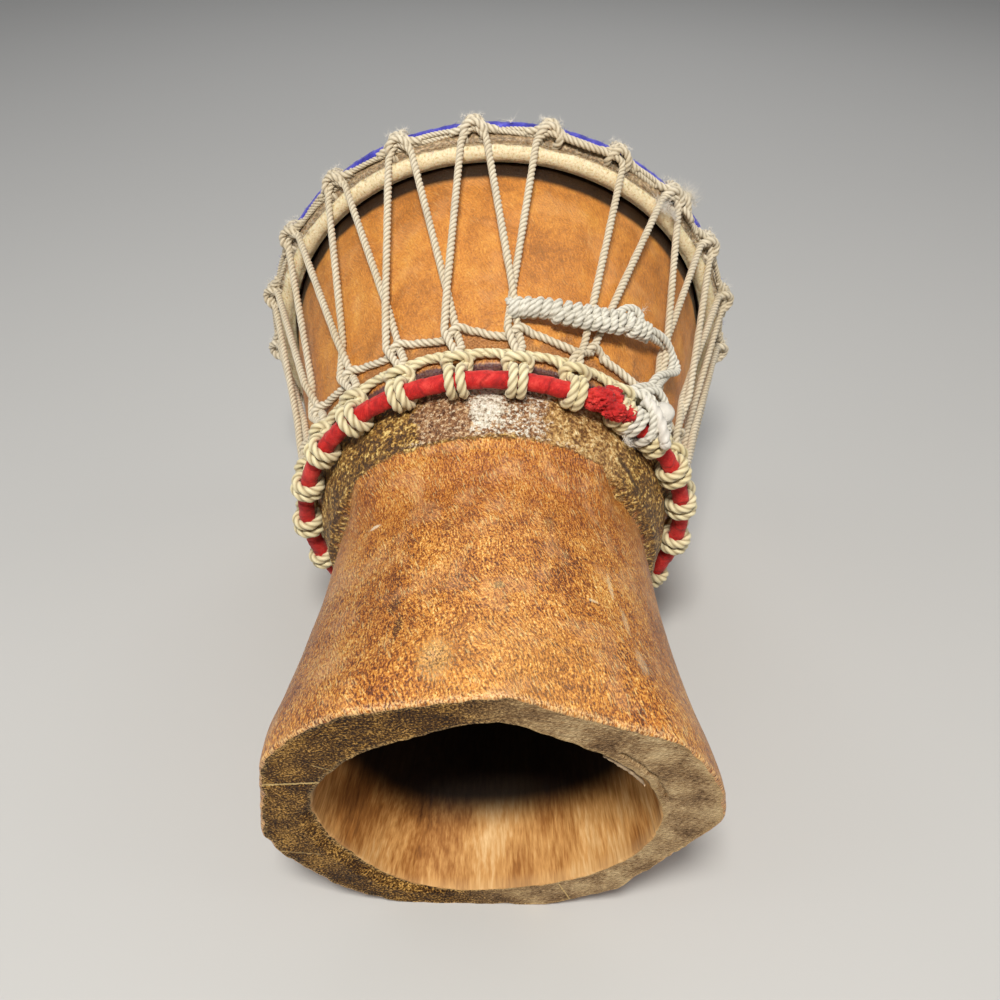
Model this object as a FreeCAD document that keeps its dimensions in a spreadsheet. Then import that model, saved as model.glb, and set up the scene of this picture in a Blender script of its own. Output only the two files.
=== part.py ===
"""Djembe: a carved wooden goblet drum with a rope-tensioned goatskin head.

Every sub-part is modelled in the drum's own frame: the foot lies on the plane of height 0, the
axis rises through the middle of the foot towards the head. One common placement then lays the
drum on its side, foot towards -Y, so that it rests on the foot's lower flat and on two knots.
Angles round the drum are in degrees from its right side; 90 is the upper side as it lies.
"""
import FreeCAD, Part
import Sketcher
import math
import os

from FreeCAD import Placement, Rotation, Vector

OUT = "parts"
DIMENSIONS = {
    # carved shell, outside, from the foot up
    "foot_radius": 92.0,
    "foot_flare_radius": 89.5,
    "foot_flare_height": 14.0,
    "stem_low_radius": 84.0,
    "stem_low_height": 34.0,
    "stem_mid_radius": 78.6,
    "stem_mid_height": 60.0,
    "stem_high_radius": 74.6,
    "stem_high_height": 86.0,
    "neck_radius": 70.6,
    "neck_height": 127.0,
    "collar_low_radius": 77.0,
    "collar_low_height": 129.0,
    "collar_high_radius": 80.6,
    "collar_high_height": 141.0,
    "seat_radius": 82.3,
    "seat_low_height": 147.5,
    "seat_high_height": 155.0,
    "bowl_base_radius": 84.6,
    "bowl_base_height": 160.0,
    "bowl_step_radius": 88.6,
    "bowl_step_height": 168.0,
    "bowl_low_radius": 94.6,
    "bowl_low_height": 195.0,
    "bowl_mid_radius": 102.8,
    "bowl_mid_height": 230.0,
    "bowl_high_radius": 109.3,
    "bowl_high_height": 260.0,
    "bowl_top_radius": 113.8,
    "bowl_top_height": 286.0,
    "edge_outer_radius": 114.4,
    "edge_outer_height": 308.0,
    "edge_round_radius": 111.6,
    "edge_round_height": 311.6,
    # carved shell, inside
    "mouth_radius": 69.0,
    "mouth_height": 6.0,
    "mouth_rim_radius": 72.0,
    "throat_low_radius": 62.0,
    "throat_low_height": 40.0,
    "throat_radius": 52.0,
    "throat_height": 104.0,
    "throat_top_height": 138.0,
    "cavity_low_radius": 70.0,
    "cavity_low_height": 166.0,
    "cavity_mid_radius": 86.0,
    "cavity_mid_height": 210.0,
    "cavity_high_radius": 98.0,
    "cavity_high_height": 262.0,
    "edge_inner_radius": 103.0,
    "edge_inner_height": 309.0,
    # flats hewn on the outside of the foot: distance from the axis
    "flat_below_distance": 86.0,
    "flat_right_distance": 83.5,
    "flat_left_distance": 86.5,
    "flat_above_distance": 87.0,
    "flat_shoulder_distance": 88.0,
    "flat_cut_depth": 30.0,
    "flat_cut_span": 140.0,
    "flat_cut_height": 120.0,
    # goatskin head
    "skin_thickness": 1.1,
    "skin_top_height": 313.2,
    "skin_flat_radius": 110.8,
    "skin_shoulder_radius": 116.1,
    "skin_shoulder_height": 308.6,
    "skirt_low_height": 286.0,
    "skin_fold_radius": 4.1,
    # rings: the two at the head and the one round the foot of the bowl
    "ring_steel_radius": 3.0,
    "cloth_gap": 0.05,
    "cloth_outer_radius": 4.0,
    "flesh_radius": 120.4,
    "flesh_height": 287.6,
    "crown_radius": 125.6,
    "crown_height": 299.0,
    "base_ring_radius": 90.5,
    "base_ring_height": 153.0,
    # rope
    "rope_radius": 1.85,
    "rope_gap": 0.1,
    "turn_radius": 5.95,
    "turn_offset": 1.95,
    "crown_line_radius": 127.6,
    "crown_line_height": 293.2,
    "crown_ball_radius": 4.7,
    "crown_ball_centre": 129.5,
    "crown_ball_height": 294.5,
    "base_line_radius": 91.6,
    "base_line_height": 167.5,
    "base_ball_radius": 4.4,
    "base_ball_centre": 92.3,
    "base_ball_height": 163.5,
    "weave_radius": 98.3,
    "weave_height": 178.6,
    # lacing
    "knot_count": 22.0,
    "first_crown_angle": 95.6,
    "first_base_angle": 100.2,
    "lace_top_radius": 126.7,
    "lace_top_height": 287.4,
    "lace_top_spread": 5.6,
    "lace_cross_inner": 99.2,
    "lace_cross_outer": 103.1,
    "lace_cross_height": 205.0,
    "lace_cross_lean": 0.6,
    "lace_weave_lean": 0.7,
    "lace_weave_radius": 93.9,
    "lace_weave_height": 181.0,
    "lace_foot_radius": 93.6,
    "lace_foot_height": 171.6,
    "lace_foot_spread": 2.2,
    "finish_top_shift": 2.0,
    "finish_left_shift": 3.5,
    "finish_right_shift": 8.5,
    # spare rope and the cloth end
    "hank_radius": 5.3,
    "run_radius": 3.2,
    "bunch_radius": 6.6,
    # how the drum lies
    "lying_tilt": 9.05,
    "lying_lift": 85.0,
    "lying_shift": 155.8,
}
FLATS = [
    ("flat_below", -90.0, "flat_below_distance"),
    ("flat_right", -27.0, "flat_right_distance"),
    ("flat_left", 176.0, "flat_left_distance"),
    ("flat_above", 103.0, "flat_above_distance"),
    ("flat_shoulder", 66.0, "flat_shoulder_distance"),
]
SHELL_PROFILE = [
    ("mouth_rim_radius", None),
    ("foot_radius", None),
    ("foot_flare_radius", "foot_flare_height"),
    ("stem_low_radius", "stem_low_height"),
    ("stem_mid_radius", "stem_mid_height"),
    ("stem_high_radius", "stem_high_height"),
    ("neck_radius", "neck_height"),
    ("collar_low_radius", "collar_low_height"),
    ("collar_high_radius", "collar_high_height"),
    ("seat_radius", "seat_low_height"),
    ("seat_radius", "seat_high_height"),
    ("bowl_base_radius", "bowl_base_height"),
    ("bowl_step_radius", "bowl_step_height"),
    ("bowl_low_radius", "bowl_low_height"),
    ("bowl_mid_radius", "bowl_mid_height"),
    ("bowl_high_radius", "bowl_high_height"),
    ("bowl_top_radius", "bowl_top_height"),
    ("edge_outer_radius", "edge_outer_height"),
    ("edge_round_radius", "edge_round_height"),
    ("edge_inner_radius", "edge_inner_height"),
    ("cavity_high_radius", "cavity_high_height"),
    ("cavity_mid_radius", "cavity_mid_height"),
    ("cavity_low_radius", "cavity_low_height"),
    ("throat_radius", "throat_top_height"),
    ("throat_radius", "throat_height"),
    ("throat_low_radius", "throat_low_height"),
    ("mouth_radius", "mouth_height"),
]

doc = FreeCAD.newDocument("djembe")
sheet = doc.addObject("Spreadsheet::Sheet", "dims")
for row, (alias, number) in enumerate(DIMENSIONS.items(), start=1):
    sheet.set(f"A{row}", alias)
    sheet.set(f"B{row}", str(number))
    sheet.setAlias(f"B{row}", alias)
doc.recompute()


def dim(alias):
    return float(sheet.get(alias))


def polar(radius, angle, height):
    """A point of the drum frame; angles grow from the right side over the upper side."""
    turn = math.radians(angle)
    return Vector(radius * math.cos(turn), -radius * math.sin(turn), height)


def lying():
    """Lays the drum on its side and moves the middle of its underside to the origin."""
    turn = Rotation(Vector(1, 0, 0), dim("lying_tilt") - 90)
    return Placement(Vector(0, -dim("lying_shift"), dim("lying_lift")), turn)


def plane_of(body, role):
    return next(f for f in body.Origin.OriginFeatures if f.Role == role)


def bind_point(sketch, corner, radius, height):
    """Holds one end of a profile line at a radius and a height taken from the sheet."""
    for kind, alias in (("DistanceX", radius), ("DistanceY", height)):
        if alias is None:
            sketch.addConstraint(Sketcher.Constraint("PointOnObject", corner, 1, -1))
            continue
        index = sketch.addConstraint(Sketcher.Constraint(kind, -1, 1, corner, 1, dim(alias)))
        sketch.renameConstraint(index, f"{kind}_{corner}")
        sketch.setExpression(f"Constraints.{kind}_{corner}", f"dims.{alias}")


def profile_sketch(body, name, corners):
    """A closed outline in the plane through the axis."""
    sketch = body.newObject("Sketcher::SketchObject", name)
    sketch.AttachmentSupport = (plane_of(body, "XZ_Plane"), [""])
    sketch.MapMode = "FlatFace"
    points = [Vector(dim(r), dim(z) if z else 0, 0) for r, z in corners]
    for index, point in enumerate(points):
        following = points[(index + 1) % len(points)]
        sketch.addGeometry(Part.LineSegment(point, following), False)
    for index in range(len(points)):
        following = (index + 1) % len(points)
        sketch.addConstraint(Sketcher.Constraint("Coincident", index, 2, following, 1))
    for index, (radius, height) in enumerate(corners):
        bind_point(sketch, index, radius, height)
    return sketch


def circle_sketch(body, name, radius, height, tubes):
    """Concentric circles in the plane through the axis, for a ring or a sleeve round one."""
    sketch = body.newObject("Sketcher::SketchObject", name)
    sketch.AttachmentSupport = (plane_of(body, "XZ_Plane"), [""])
    sketch.MapMode = "FlatFace"
    centre = Vector(dim(radius), dim(height), 0)
    for index, tube in enumerate(tubes):
        circle = Part.Circle(centre, Vector(0, 0, 1), dim(tube[0]) + tube[1])
        sketch.addGeometry(circle, False)
        size = sketch.addConstraint(
            Sketcher.Constraint("Radius", index, dim(tube[0]) + tube[1])
        )
        sketch.renameConstraint(size, f"tube_{index}")
        sketch.setExpression(f"Constraints.tube_{index}", f"dims.{tube[0]} + {tube[1]}")
        across = sketch.addConstraint(
            Sketcher.Constraint("DistanceX", -1, 1, index, 3, dim(radius))
        )
        sketch.renameConstraint(across, f"across_{index}")
        sketch.setExpression(f"Constraints.across_{index}", f"dims.{radius}")
        above = sketch.addConstraint(
            Sketcher.Constraint("DistanceY", -1, 1, index, 3, dim(height))
        )
        sketch.renameConstraint(above, f"above_{index}")
        sketch.setExpression(f"Constraints.above_{index}", f"dims.{height}")
    return sketch


def revolve(body, sketch, name):
    feature = body.newObject("PartDesign::Revolution", name)
    feature.Profile = sketch
    feature.ReferenceAxis = (sketch, ["V_Axis"])
    feature.Angle = 360
    return feature


def ring_body(label, radius, height, tubes):
    body = doc.addObject("PartDesign::Body", label)
    revolve(body, circle_sketch(body, f"{label}_section", radius, height, tubes), f"{label}_turn")
    return body


def torus(name, major, minor, place):
    shape = doc.addObject("Part::Torus", name)
    shape.setExpression("Radius1", f"dims.{major}")
    shape.setExpression("Radius2", f"dims.{minor}")
    shape.Placement = place
    return shape


def sphere(name, radius, place):
    shape = doc.addObject("Part::Sphere", name)
    shape.setExpression("Radius", f"dims.{radius}")
    shape.Placement = place
    return shape


def knot_master(name, ring, ball, line):
    """Two turns of rope round a ring and the ball of their hitch, bored for the line's rope."""
    ring_radius, ring_height = dim(ring[0]), dim(ring[1])
    pieces = []
    for side in (-1, 1):
        centre = Vector(ring_radius, side * dim("turn_offset"), ring_height)
        upright = Placement(centre, Rotation(Vector(1, 0, 0), 90))
        pieces.append(torus(f"{name}_turn_{len(pieces)}", "turn_radius", "rope_radius", upright))
    place = Placement(Vector(dim(ball[1]), 0, dim(ball[2])), Rotation())
    pieces.append(sphere(f"{name}_ball", ball[0], place))
    lump = doc.addObject("Part::MultiFuse", f"{name}_lump")
    lump.Shapes = pieces
    bore = doc.addObject("Part::Torus", f"{name}_bore")
    bore.setExpression("Radius1", f"dims.{line[0]}")
    bore.setExpression("Radius2", "dims.rope_radius + dims.rope_gap")
    bore.Placement = Placement(Vector(0, 0, dim(line[1])), Rotation())
    knot = doc.addObject("Part::Cut", name)
    knot.Base = lump
    knot.Tool = bore
    return knot


def crown_angle(index):
    """The crown knots are evenly spaced, but for shifts on the left and on the side lain on."""
    angle = dim("first_crown_angle") - 360 / dim("knot_count") * index
    from_left = (angle + 8) % 360 - 180
    left_shift = 7.0 * math.exp(-((from_left / 44) ** 2))
    return angle + 2.6 * math.exp(-(((angle + 92) / 50) ** 2)) + left_shift


def base_angle(index):
    """The knots of the base ring crowd together where the rope is finished off."""
    angle = dim("first_base_angle") - 360 / dim("knot_count") * index
    return angle + 7.6 * math.exp(-(((angle + 8) / 50) ** 2))


def crossing_angle(index):
    """A pair of legs crosses part of the way from its base knot to its two crown knots."""
    low = base_angle(index)
    middle = (crown_angle(index) + crown_angle(index - 1)) / 2
    return low + dim("lace_cross_lean") * (middle - low)


def weave_angle(index):
    low = base_angle(index)
    return low + dim("lace_weave_lean") * (crossing_angle(index) - low)


def beside(radius, angle, height, sideways):
    """A point moved along the ring by a distance, positive towards larger angles."""
    return polar(radius, angle + math.degrees(sideways / radius), height)


def rounded_path(points, bends):
    """Straight runs joined by tangent arcs, with a largest bend radius for each inner point."""
    edges = []
    start = points[0]
    for index in range(1, len(points) - 1):
        before = points[index] - points[index - 1]
        after = points[index + 1] - points[index]
        turn = before.getAngle(after)
        reach = 0.45 * min(before.Length, after.Length)
        radius = min(bends[index], reach / math.tan(turn / 2))
        cut = radius * math.tan(turn / 2)
        before.normalize()
        after.normalize()
        first = points[index] - before * cut
        last = points[index] + after * cut
        inward = (after - before).normalize()
        middle = points[index] + inward * (radius / math.cos(turn / 2) - radius)
        edges.append(Part.LineSegment(start, first).toShape())
        edges.append(Part.Arc(first, middle, last).toShape())
        start = last
    edges.append(Part.LineSegment(start, points[-1]).toShape())
    return Part.Wire(edges)


def tube(points, bends, radius):
    """A round rope swept along a rounded path."""
    path = rounded_path(points, bends)
    heading = points[1] - points[0]
    section = Part.Wire([Part.Circle(points[0], heading, radius).toShape()])
    solid = path.makePipeShell([section], True, False)
    print("tube length", round(path.Length, 1), "volume share", round(
        solid.Volume / (math.pi * radius**2 * path.Length), 3))
    return solid


def up_leg(index):
    """From the left of a base knot, across the pair, to the left of its crown knot."""
    spread = dim("lace_foot_spread")
    low = base_angle(index)
    high = crown_angle(index)
    return [
        beside(dim("lace_foot_radius"), low, dim("lace_foot_height"), spread),
        beside(dim("lace_weave_radius"), weave_angle(index), dim("lace_weave_height"), spread),
        polar(dim("lace_cross_inner"), crossing_angle(index), dim("lace_cross_height")),
        beside(dim("lace_top_radius"), high, dim("lace_top_height"), dim("lace_top_spread")),
    ]


def down_leg(index):
    """From the right of the crown knot before, across the pair, to the right of a base knot."""
    spread = dim("lace_foot_spread")
    low = base_angle(index)
    high = crown_angle(index - 1)
    return [
        beside(dim("lace_top_radius"), high, dim("lace_top_height"), -dim("lace_top_spread")),
        polar(dim("lace_cross_outer"), crossing_angle(index), dim("lace_cross_height")),
        beside(dim("lace_weave_radius"), weave_angle(index), dim("lace_weave_height"), -spread),
        beside(dim("lace_foot_radius"), low, dim("lace_foot_height"), -spread),
    ]


def finish_legs():
    """Where the rope was finished off, it runs along the crown from knot 1 to knot 2, down to
    base knot 2, up to crown knot 3 and down to base knot 4, so base knot 3 has no legs."""
    top_radius = dim("lace_top_radius")
    top_height = dim("lace_top_height")
    start = crown_angle(1)
    reach = crown_angle(2) - start
    along = [polar(top_radius, start + reach * share, top_height) for share in (0.0, 0.33, 0.67)]
    low = base_angle(2)
    foot_radius = dim("lace_foot_radius")
    foot_height = dim("lace_foot_height")
    weave_radius = dim("lace_weave_radius")
    weave_height = dim("lace_weave_height")
    spread = dim("lace_foot_spread")
    pair = [
        beside(top_radius, crown_angle(2), top_height, -dim("finish_top_shift")),
        beside(weave_radius, low, weave_height, -dim("finish_left_shift")),
        beside(foot_radius, low, foot_height, spread),
        beside(foot_radius, low, foot_height, -spread),
        beside(weave_radius, low, weave_height, -dim("finish_right_shift")),
        beside(top_radius, crown_angle(3), top_height, dim("lace_top_spread")),
    ]
    return along + pair + down_leg(4)


def lacing_route():
    """The one long cord: up from a base knot, over a crown knot, down to the next base knot."""
    count = int(dim("knot_count"))
    points = []
    bends = []
    for step in range(4, count + 2):
        index = step % count
        points += up_leg(index)
        bends += [2.15, 40.0, 60.0, 4.0]
        if index != 1:
            points += down_leg((index + 1) % count)
            bends += [4.0, 60.0, 40.0, 2.15]
    points += finish_legs()
    bends += [60.0, 60.0, 60.0, 4.0, 20.0, 2.15, 2.15, 20.0, 4.0, 4.0, 60.0, 40.0, 2.15]
    return points, bends


def solid_of(label, shape):
    feature = doc.addObject("Part::Feature", label)
    feature.Shape = shape
    return feature


nodes = []

# carved shell
shell_round = doc.addObject("PartDesign::Body", "shell_round")
revolve(shell_round, profile_sketch(shell_round, "shell_section", SHELL_PROFILE), "shell_turn")
cuts = []
for flat_name, flat_angle, distance in FLATS:
    block = doc.addObject("Part::Box", flat_name)
    block.setExpression("Length", "dims.flat_cut_depth")
    block.setExpression("Width", "dims.flat_cut_span")
    block.setExpression("Height", "dims.flat_cut_height")
    spin = Rotation(Vector(0, 0, 1), -flat_angle)
    corner = Vector(dim(distance), -dim("flat_cut_span") / 2, -1)
    block.Placement = Placement(spin.multVec(corner), spin)
    cuts.append(block)
hewn = doc.addObject("Part::MultiFuse", "hewn_flats")
hewn.Shapes = cuts
shell = doc.addObject("Part::Cut", "shell")
shell.Base = shell_round
shell.Tool = hewn
nodes.append((shell, "shell", Placement()))

# goatskin: membrane, skirt and the fold round the flesh hoop
skin_low = "skirt_low_height"
skin = doc.addObject("PartDesign::Body", "goatskin")
skin_sketch = skin.newObject("Sketcher::SketchObject", "skin_section")
skin_sketch.AttachmentSupport = (plane_of(skin, "XZ_Plane"), [""])
skin_sketch.MapMode = "FlatFace"
thick = dim("skin_thickness")
skin_corners = [
    ("x0", "0", "dims.skin_top_height - dims.skin_thickness"),
    ("x1", "0", "dims.skin_top_height"),
    ("x2", "dims.skin_flat_radius", "dims.skin_top_height"),
    ("x3", "dims.skin_shoulder_radius", "dims.skin_shoulder_height"),
    ("x4", "dims.skin_shoulder_radius + 0.6", "dims.skirt_low_height"),
    ("x5", "dims.skin_shoulder_radius - dims.skin_thickness + 0.6", "dims.skirt_low_height"),
    ("x6", "dims.skin_shoulder_radius - dims.skin_thickness", "dims.skin_shoulder_height"),
    ("x7", "dims.skin_flat_radius - 0.4", "dims.skin_top_height - dims.skin_thickness"),
]
shoulder = dim("skin_shoulder_radius")
skin_points = [
    Vector(0, dim("skin_top_height") - thick, 0),
    Vector(0, dim("skin_top_height"), 0),
    Vector(dim("skin_flat_radius"), dim("skin_top_height"), 0),
    Vector(shoulder, dim("skin_shoulder_height"), 0),
    Vector(shoulder + 0.6, dim(skin_low), 0),
    Vector(shoulder - thick + 0.6, dim(skin_low), 0),
    Vector(shoulder - thick, dim("skin_shoulder_height"), 0),
    Vector(dim("skin_flat_radius") - 0.4, dim("skin_top_height") - thick, 0),
]
for number, point in enumerate(skin_points):
    following = skin_points[(number + 1) % len(skin_points)]
    skin_sketch.addGeometry(Part.LineSegment(point, following), False)
for number in range(len(skin_points)):
    joined = (number + 1) % len(skin_points)
    skin_sketch.addConstraint(Sketcher.Constraint("Coincident", number, 2, joined, 1))
for number, (tag, across, above) in enumerate(skin_corners):
    point = skin_points[number]
    if number > 1:
        held = skin_sketch.addConstraint(
            Sketcher.Constraint("DistanceX", -1, 1, number, 1, point.x)
        )
        skin_sketch.renameConstraint(held, f"{tag}_across")
        skin_sketch.setExpression(f"Constraints.{tag}_across", across)
    else:
        skin_sketch.addConstraint(Sketcher.Constraint("PointOnObject", number, 1, -2))
    held = skin_sketch.addConstraint(
        Sketcher.Constraint("DistanceY", -1, 1, number, 1, point.y)
    )
    skin_sketch.renameConstraint(held, f"{tag}_above")
    skin_sketch.setExpression(f"Constraints.{tag}_above", above)
revolve(skin, skin_sketch, "skin_turn")
fold_tubes = [("skin_fold_radius", 0.0), ("ring_steel_radius", 0.05)]
fold = circle_sketch(skin, "skin_fold", "flesh_radius", "flesh_height", fold_tubes)
revolve(skin, fold, "skin_fold_turn")
nodes.append((skin, "goatskin", Placement()))

# rings and their cloth sleeves
for label, radius, height in (
    ("flesh_hoop", "flesh_radius", "flesh_height"),
    ("crown_hoop", "crown_radius", "crown_height"),
    ("base_ring", "base_ring_radius", "base_ring_height"),
):
    ring = ring_body(label, radius, height, [("ring_steel_radius", 0.0)])
    nodes.append((ring, label, Placement()))
for label, radius, height in (
    ("crown_cloth", "crown_radius", "crown_height"),
    ("base_ring_cloth", "base_ring_radius", "base_ring_height"),
):
    sleeve_tubes = [("cloth_outer_radius", 0.0), ("ring_steel_radius", 0.05)]
    sleeve = ring_body(label, radius, height, sleeve_tubes)
    nodes.append((sleeve, label, Placement()))

# rope lines that run round the drum
for label, radius, height in (
    ("crown_line", "crown_line_radius", "crown_line_height"),
    ("base_line", "base_line_radius", "base_line_height"),
    ("weave_row", "weave_radius", "weave_height"),
):
    line = ring_body(label, radius, height, [("rope_radius", 0.0)])
    nodes.append((line, label, Placement()))

# knots
crown_master = knot_master(
    "crown_knot_pattern",
    ("crown_radius", "crown_height"),
    ("crown_ball_radius", "crown_ball_centre", "crown_ball_height"),
    ("crown_line_radius", "crown_line_height"),
)
base_master = knot_master(
    "base_knot_pattern",
    ("base_ring_radius", "base_ring_height"),
    ("base_ball_radius", "base_ball_centre", "base_ball_height"),
    ("base_line_radius", "base_line_height"),
)
doc.recompute()
for number in range(int(dim("knot_count"))):
    for label, master, angle in (
        (f"crown_knot_{number + 1:02d}", crown_master, crown_angle(number)),
        (f"base_knot_{number + 1:02d}", base_master, base_angle(number)),
    ):
        knot = solid_of(label, master.Shape.copy())
        spin = Rotation(Vector(0, 0, 1), -angle)
        nodes.append((knot, label, Placement(Vector(), spin)))

# lacing
route, route_bends = lacing_route()
lacing = solid_of("lacing", tube(route, route_bends, dim("rope_radius")))
nodes.append((lacing, "lacing", Placement()))

# spare rope: twisted hank, doubled run down to the base ring, and its stopper knot
hank_route = [
    polar(103.8, 87.5, 187.5),
    polar(104.2, 76.0, 187.0),
    polar(104.8, 65.0, 189.5),
    polar(107.2, 54.0, 197.5),
]
hank_bends = [0, 60.0, 60.0, 0]
hank_body = tube(hank_route, hank_bends, dim("hank_radius"))
hank_ends = [Part.makeSphere(dim("hank_radius"), hank_route[i]) for i in (0, -1)]
tail_hank = solid_of("tail_hank", hank_body.multiFuse(hank_ends).removeSplitter())
nodes.append((tail_hank, "tail_hank", Placement()))
run_route = [
    polar(108.2, 50.6, 200.6),
    polar(107.6, 44.5, 206.5),
    polar(106.6, 37.5, 210.5),
    polar(105.8, 32.4, 206.0),
    polar(104.4, 33.6, 196.0),
    polar(102.8, 37.2, 186.0),
    polar(101.6, 39.6, 176.5),
]
run_bends = [0, 16.0, 12.0, 12.0, 24.0, 40.0, 0]
tail_run = solid_of("tail_run", tube(run_route, run_bends, dim("run_radius")))
nodes.append((tail_run, "tail_run", Placement()))
clump = [
    Part.makeSphere(8.4, polar(101.5, 42.5, 168.5)),
    Part.makeSphere(6.2, polar(100.5, 49.0, 165.5)),
    Part.makeSphere(7.0, polar(103.5, 43.5, 158.5)),
    Part.makeSphere(5.6, polar(100.5, 34.5, 162.0)),
]
clump_shape = clump[0].multiFuse(clump[1:])
doc.recompute()
placed = {label: (feature, own) for feature, label, own in nodes}
for neighbour in ("base_knot_04", "base_knot_05", "base_ring_cloth", "base_line", "weave_row",
                  "lacing", "tail_run"):
    feature, own = placed[neighbour]
    blocker = feature.Shape.copy()
    blocker.Placement = own
    clump_shape = clump_shape.cut(blocker)
clump_shape = max(clump_shape.Solids, key=lambda piece: piece.Volume)
tail_knot = solid_of("tail_knot", clump_shape)
nodes.append((tail_knot, "tail_knot", Placement()))

# crumpled end of the red cloth, and the knot where the crown line is joined
bunch = Part.makeSphere(dim("bunch_radius"), polar(93.4, 59.6, 153.5))
bunch = bunch.fuse(Part.makeSphere(dim("bunch_radius") - 1.2, polar(94.4, 57.2, 158.5)))
for neighbour in ("base_ring_cloth", "base_knot_03", "base_knot_04", "base_line", "shell",
                  "base_ring", "tail_knot"):
    feature, own = placed.get(neighbour, (tail_knot, Placement()))
    blocker = feature.Shape.copy()
    blocker.Placement = own
    bunch = bunch.cut(blocker)
bunch = max(bunch.Solids, key=lambda piece: piece.Volume)
cloth_bunch = solid_of("cloth_bunch", bunch)
nodes.append((cloth_bunch, "cloth_bunch", Placement()))
joint_lump = Part.makeSphere(6.0, polar(133.0, 39.0, 291.5))
for neighbour in ("crown_line", "crown_knot_04", "crown_knot_05", "crown_cloth", "lacing"):
    feature, own = placed[neighbour]
    blocker = feature.Shape.copy()
    blocker.Placement = own
    joint_lump = joint_lump.cut(blocker)
joint_lump = max(joint_lump.Solids, key=lambda piece: piece.Volume)
joint_knot = solid_of("crown_joint_knot", joint_lump)
nodes.append((joint_knot, "crown_joint_knot", Placement()))

whole = lying()
for feature, label, own in nodes:
    feature.Label = label
    feature.Placement = whole.multiply(own)
doc.recompute()

for thing in doc.Objects:
    if "Invalid" in thing.State or "Error" in thing.State:
        raise RuntimeError(f"{thing.Name} did not compute: {thing.State}")
box = nodes[0][0].Shape.optimalBoundingBox(True, False)
for feature, label, own in nodes:
    shape = feature.Shape
    if shape.isNull() or not shape.isValid():
        raise RuntimeError(f"{label} has no valid shape")
    if len(shape.Solids) != 1:
        raise RuntimeError(f"{label} has {len(shape.Solids)} solids")
    box.add(shape.optimalBoundingBox(True, False))
print("nodes", len(nodes), "box", [round(v, 2) for v in (box.XMin, box.XMax, box.YMin, box.YMax,
                                                          box.ZMin, box.ZMax)])

os.makedirs(OUT, exist_ok=True)
for feature, label, own in nodes:
    feature.Shape.exportStep(os.path.join(OUT, f"{label}.step"))
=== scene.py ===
"""Looks of the djembe: carved wood, goatskin, cloth-covered rings and twisted rope.

Shapes are worked out in the drum's own frame in millimetres: x to the right, s to the upper side as
the drum lies, z along the axis from the foot. `place` turns that into the row's frame. Angles round
the drum are in degrees from its right side over the upper side.
"""

import math

import bpy
import numpy as np
from mathutils import Matrix


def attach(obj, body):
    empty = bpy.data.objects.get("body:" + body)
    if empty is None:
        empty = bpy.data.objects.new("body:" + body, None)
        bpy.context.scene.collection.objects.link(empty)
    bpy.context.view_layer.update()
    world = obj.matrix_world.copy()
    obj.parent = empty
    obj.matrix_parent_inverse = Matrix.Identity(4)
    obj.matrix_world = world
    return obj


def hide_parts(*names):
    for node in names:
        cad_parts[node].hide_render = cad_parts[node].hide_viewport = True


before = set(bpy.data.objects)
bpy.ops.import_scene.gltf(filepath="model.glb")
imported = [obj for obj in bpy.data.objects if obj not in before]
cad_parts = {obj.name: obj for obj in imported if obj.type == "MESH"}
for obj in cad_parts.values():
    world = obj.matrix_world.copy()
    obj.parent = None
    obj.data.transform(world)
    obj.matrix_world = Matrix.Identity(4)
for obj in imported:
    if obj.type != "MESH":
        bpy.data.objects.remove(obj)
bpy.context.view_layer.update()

TILT = math.radians(9.05)
SHIFT = 155.8
LIFT = 85.0
KNOTS = 22
# radius and height of the middle of each ring's section
CROWN_RING = (125.6, 299.0)
BASE_RING = (90.5, 153.0)
# the dark knot in the stem's wood: its angle and height
STEM_KNOT, STEM_KNOT_HEIGHT = 101.7, 17.0
# millimetres round the stem for one degree
DEGREE = 1.33


def place(points):
    """Drum points in millimetres to the row's frame, still in millimetres."""
    x, s, z = np.moveaxis(np.asarray(points, float), -1, 0)
    across, along = math.cos(TILT), math.sin(TILT)
    return np.stack([x, z * across - s * along - SHIFT, z * along + s * across + LIFT], -1)


def around(radius, angle, height):
    turn = np.radians(angle)
    parts = np.broadcast_arrays(radius * np.cos(turn), radius * np.sin(turn), height)
    return np.stack(parts, -1)


def beside(angle, u, radius, height):
    """A drum point u millimetres to the right of an angle, measured along the ring."""
    return around(radius, angle - np.degrees(u / radius), height)


def crown_angle(index):
    angle = 95.6 - 360 / KNOTS * index
    from_left = (angle + 8) % 360 - 180
    return angle + 2.6 * math.exp(-(((angle + 92) / 50) ** 2)) + 7.0 * math.exp(-((from_left / 44) ** 2))


def base_angle(index):
    angle = 100.2 - 360 / KNOTS * index
    return angle + 7.6 * math.exp(-(((angle + 8) / 50) ** 2))


def crossing_angle(index):
    low = base_angle(index)
    return low + 0.6 * ((crown_angle(index) + crown_angle(index - 1)) / 2 - low)


def weave_angle(index):
    low = base_angle(index)
    return low + 0.7 * (crossing_angle(index) - low) * (index != 2)


def ease(value):
    value = np.clip(value, 0, 1)
    return value * value * (3 - 2 * value)


def relief(turn, height, columns, rows, seed):
    """Smooth noise between -1 and 1 that closes on itself round the drum."""
    table = np.random.default_rng(seed).uniform(-1, 1, (columns, rows + 2))
    u = np.mod(np.asarray(turn) / 360, 1) * columns
    v = np.clip(np.asarray(height) / 330, 0, 1) * rows
    i, j = np.floor(u).astype(int), np.floor(v).astype(int)
    fu, fv = ease(u - i), ease(v - j)
    i, following = i % columns, (i + 1) % columns
    low = table[i, j] * (1 - fu) + table[following, j] * fu
    high = table[i, j + 1] * (1 - fu) + table[following, j + 1] * fu
    return low * (1 - fv) + high * fv


# ---------------------------------------------------------------- meshes


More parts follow.
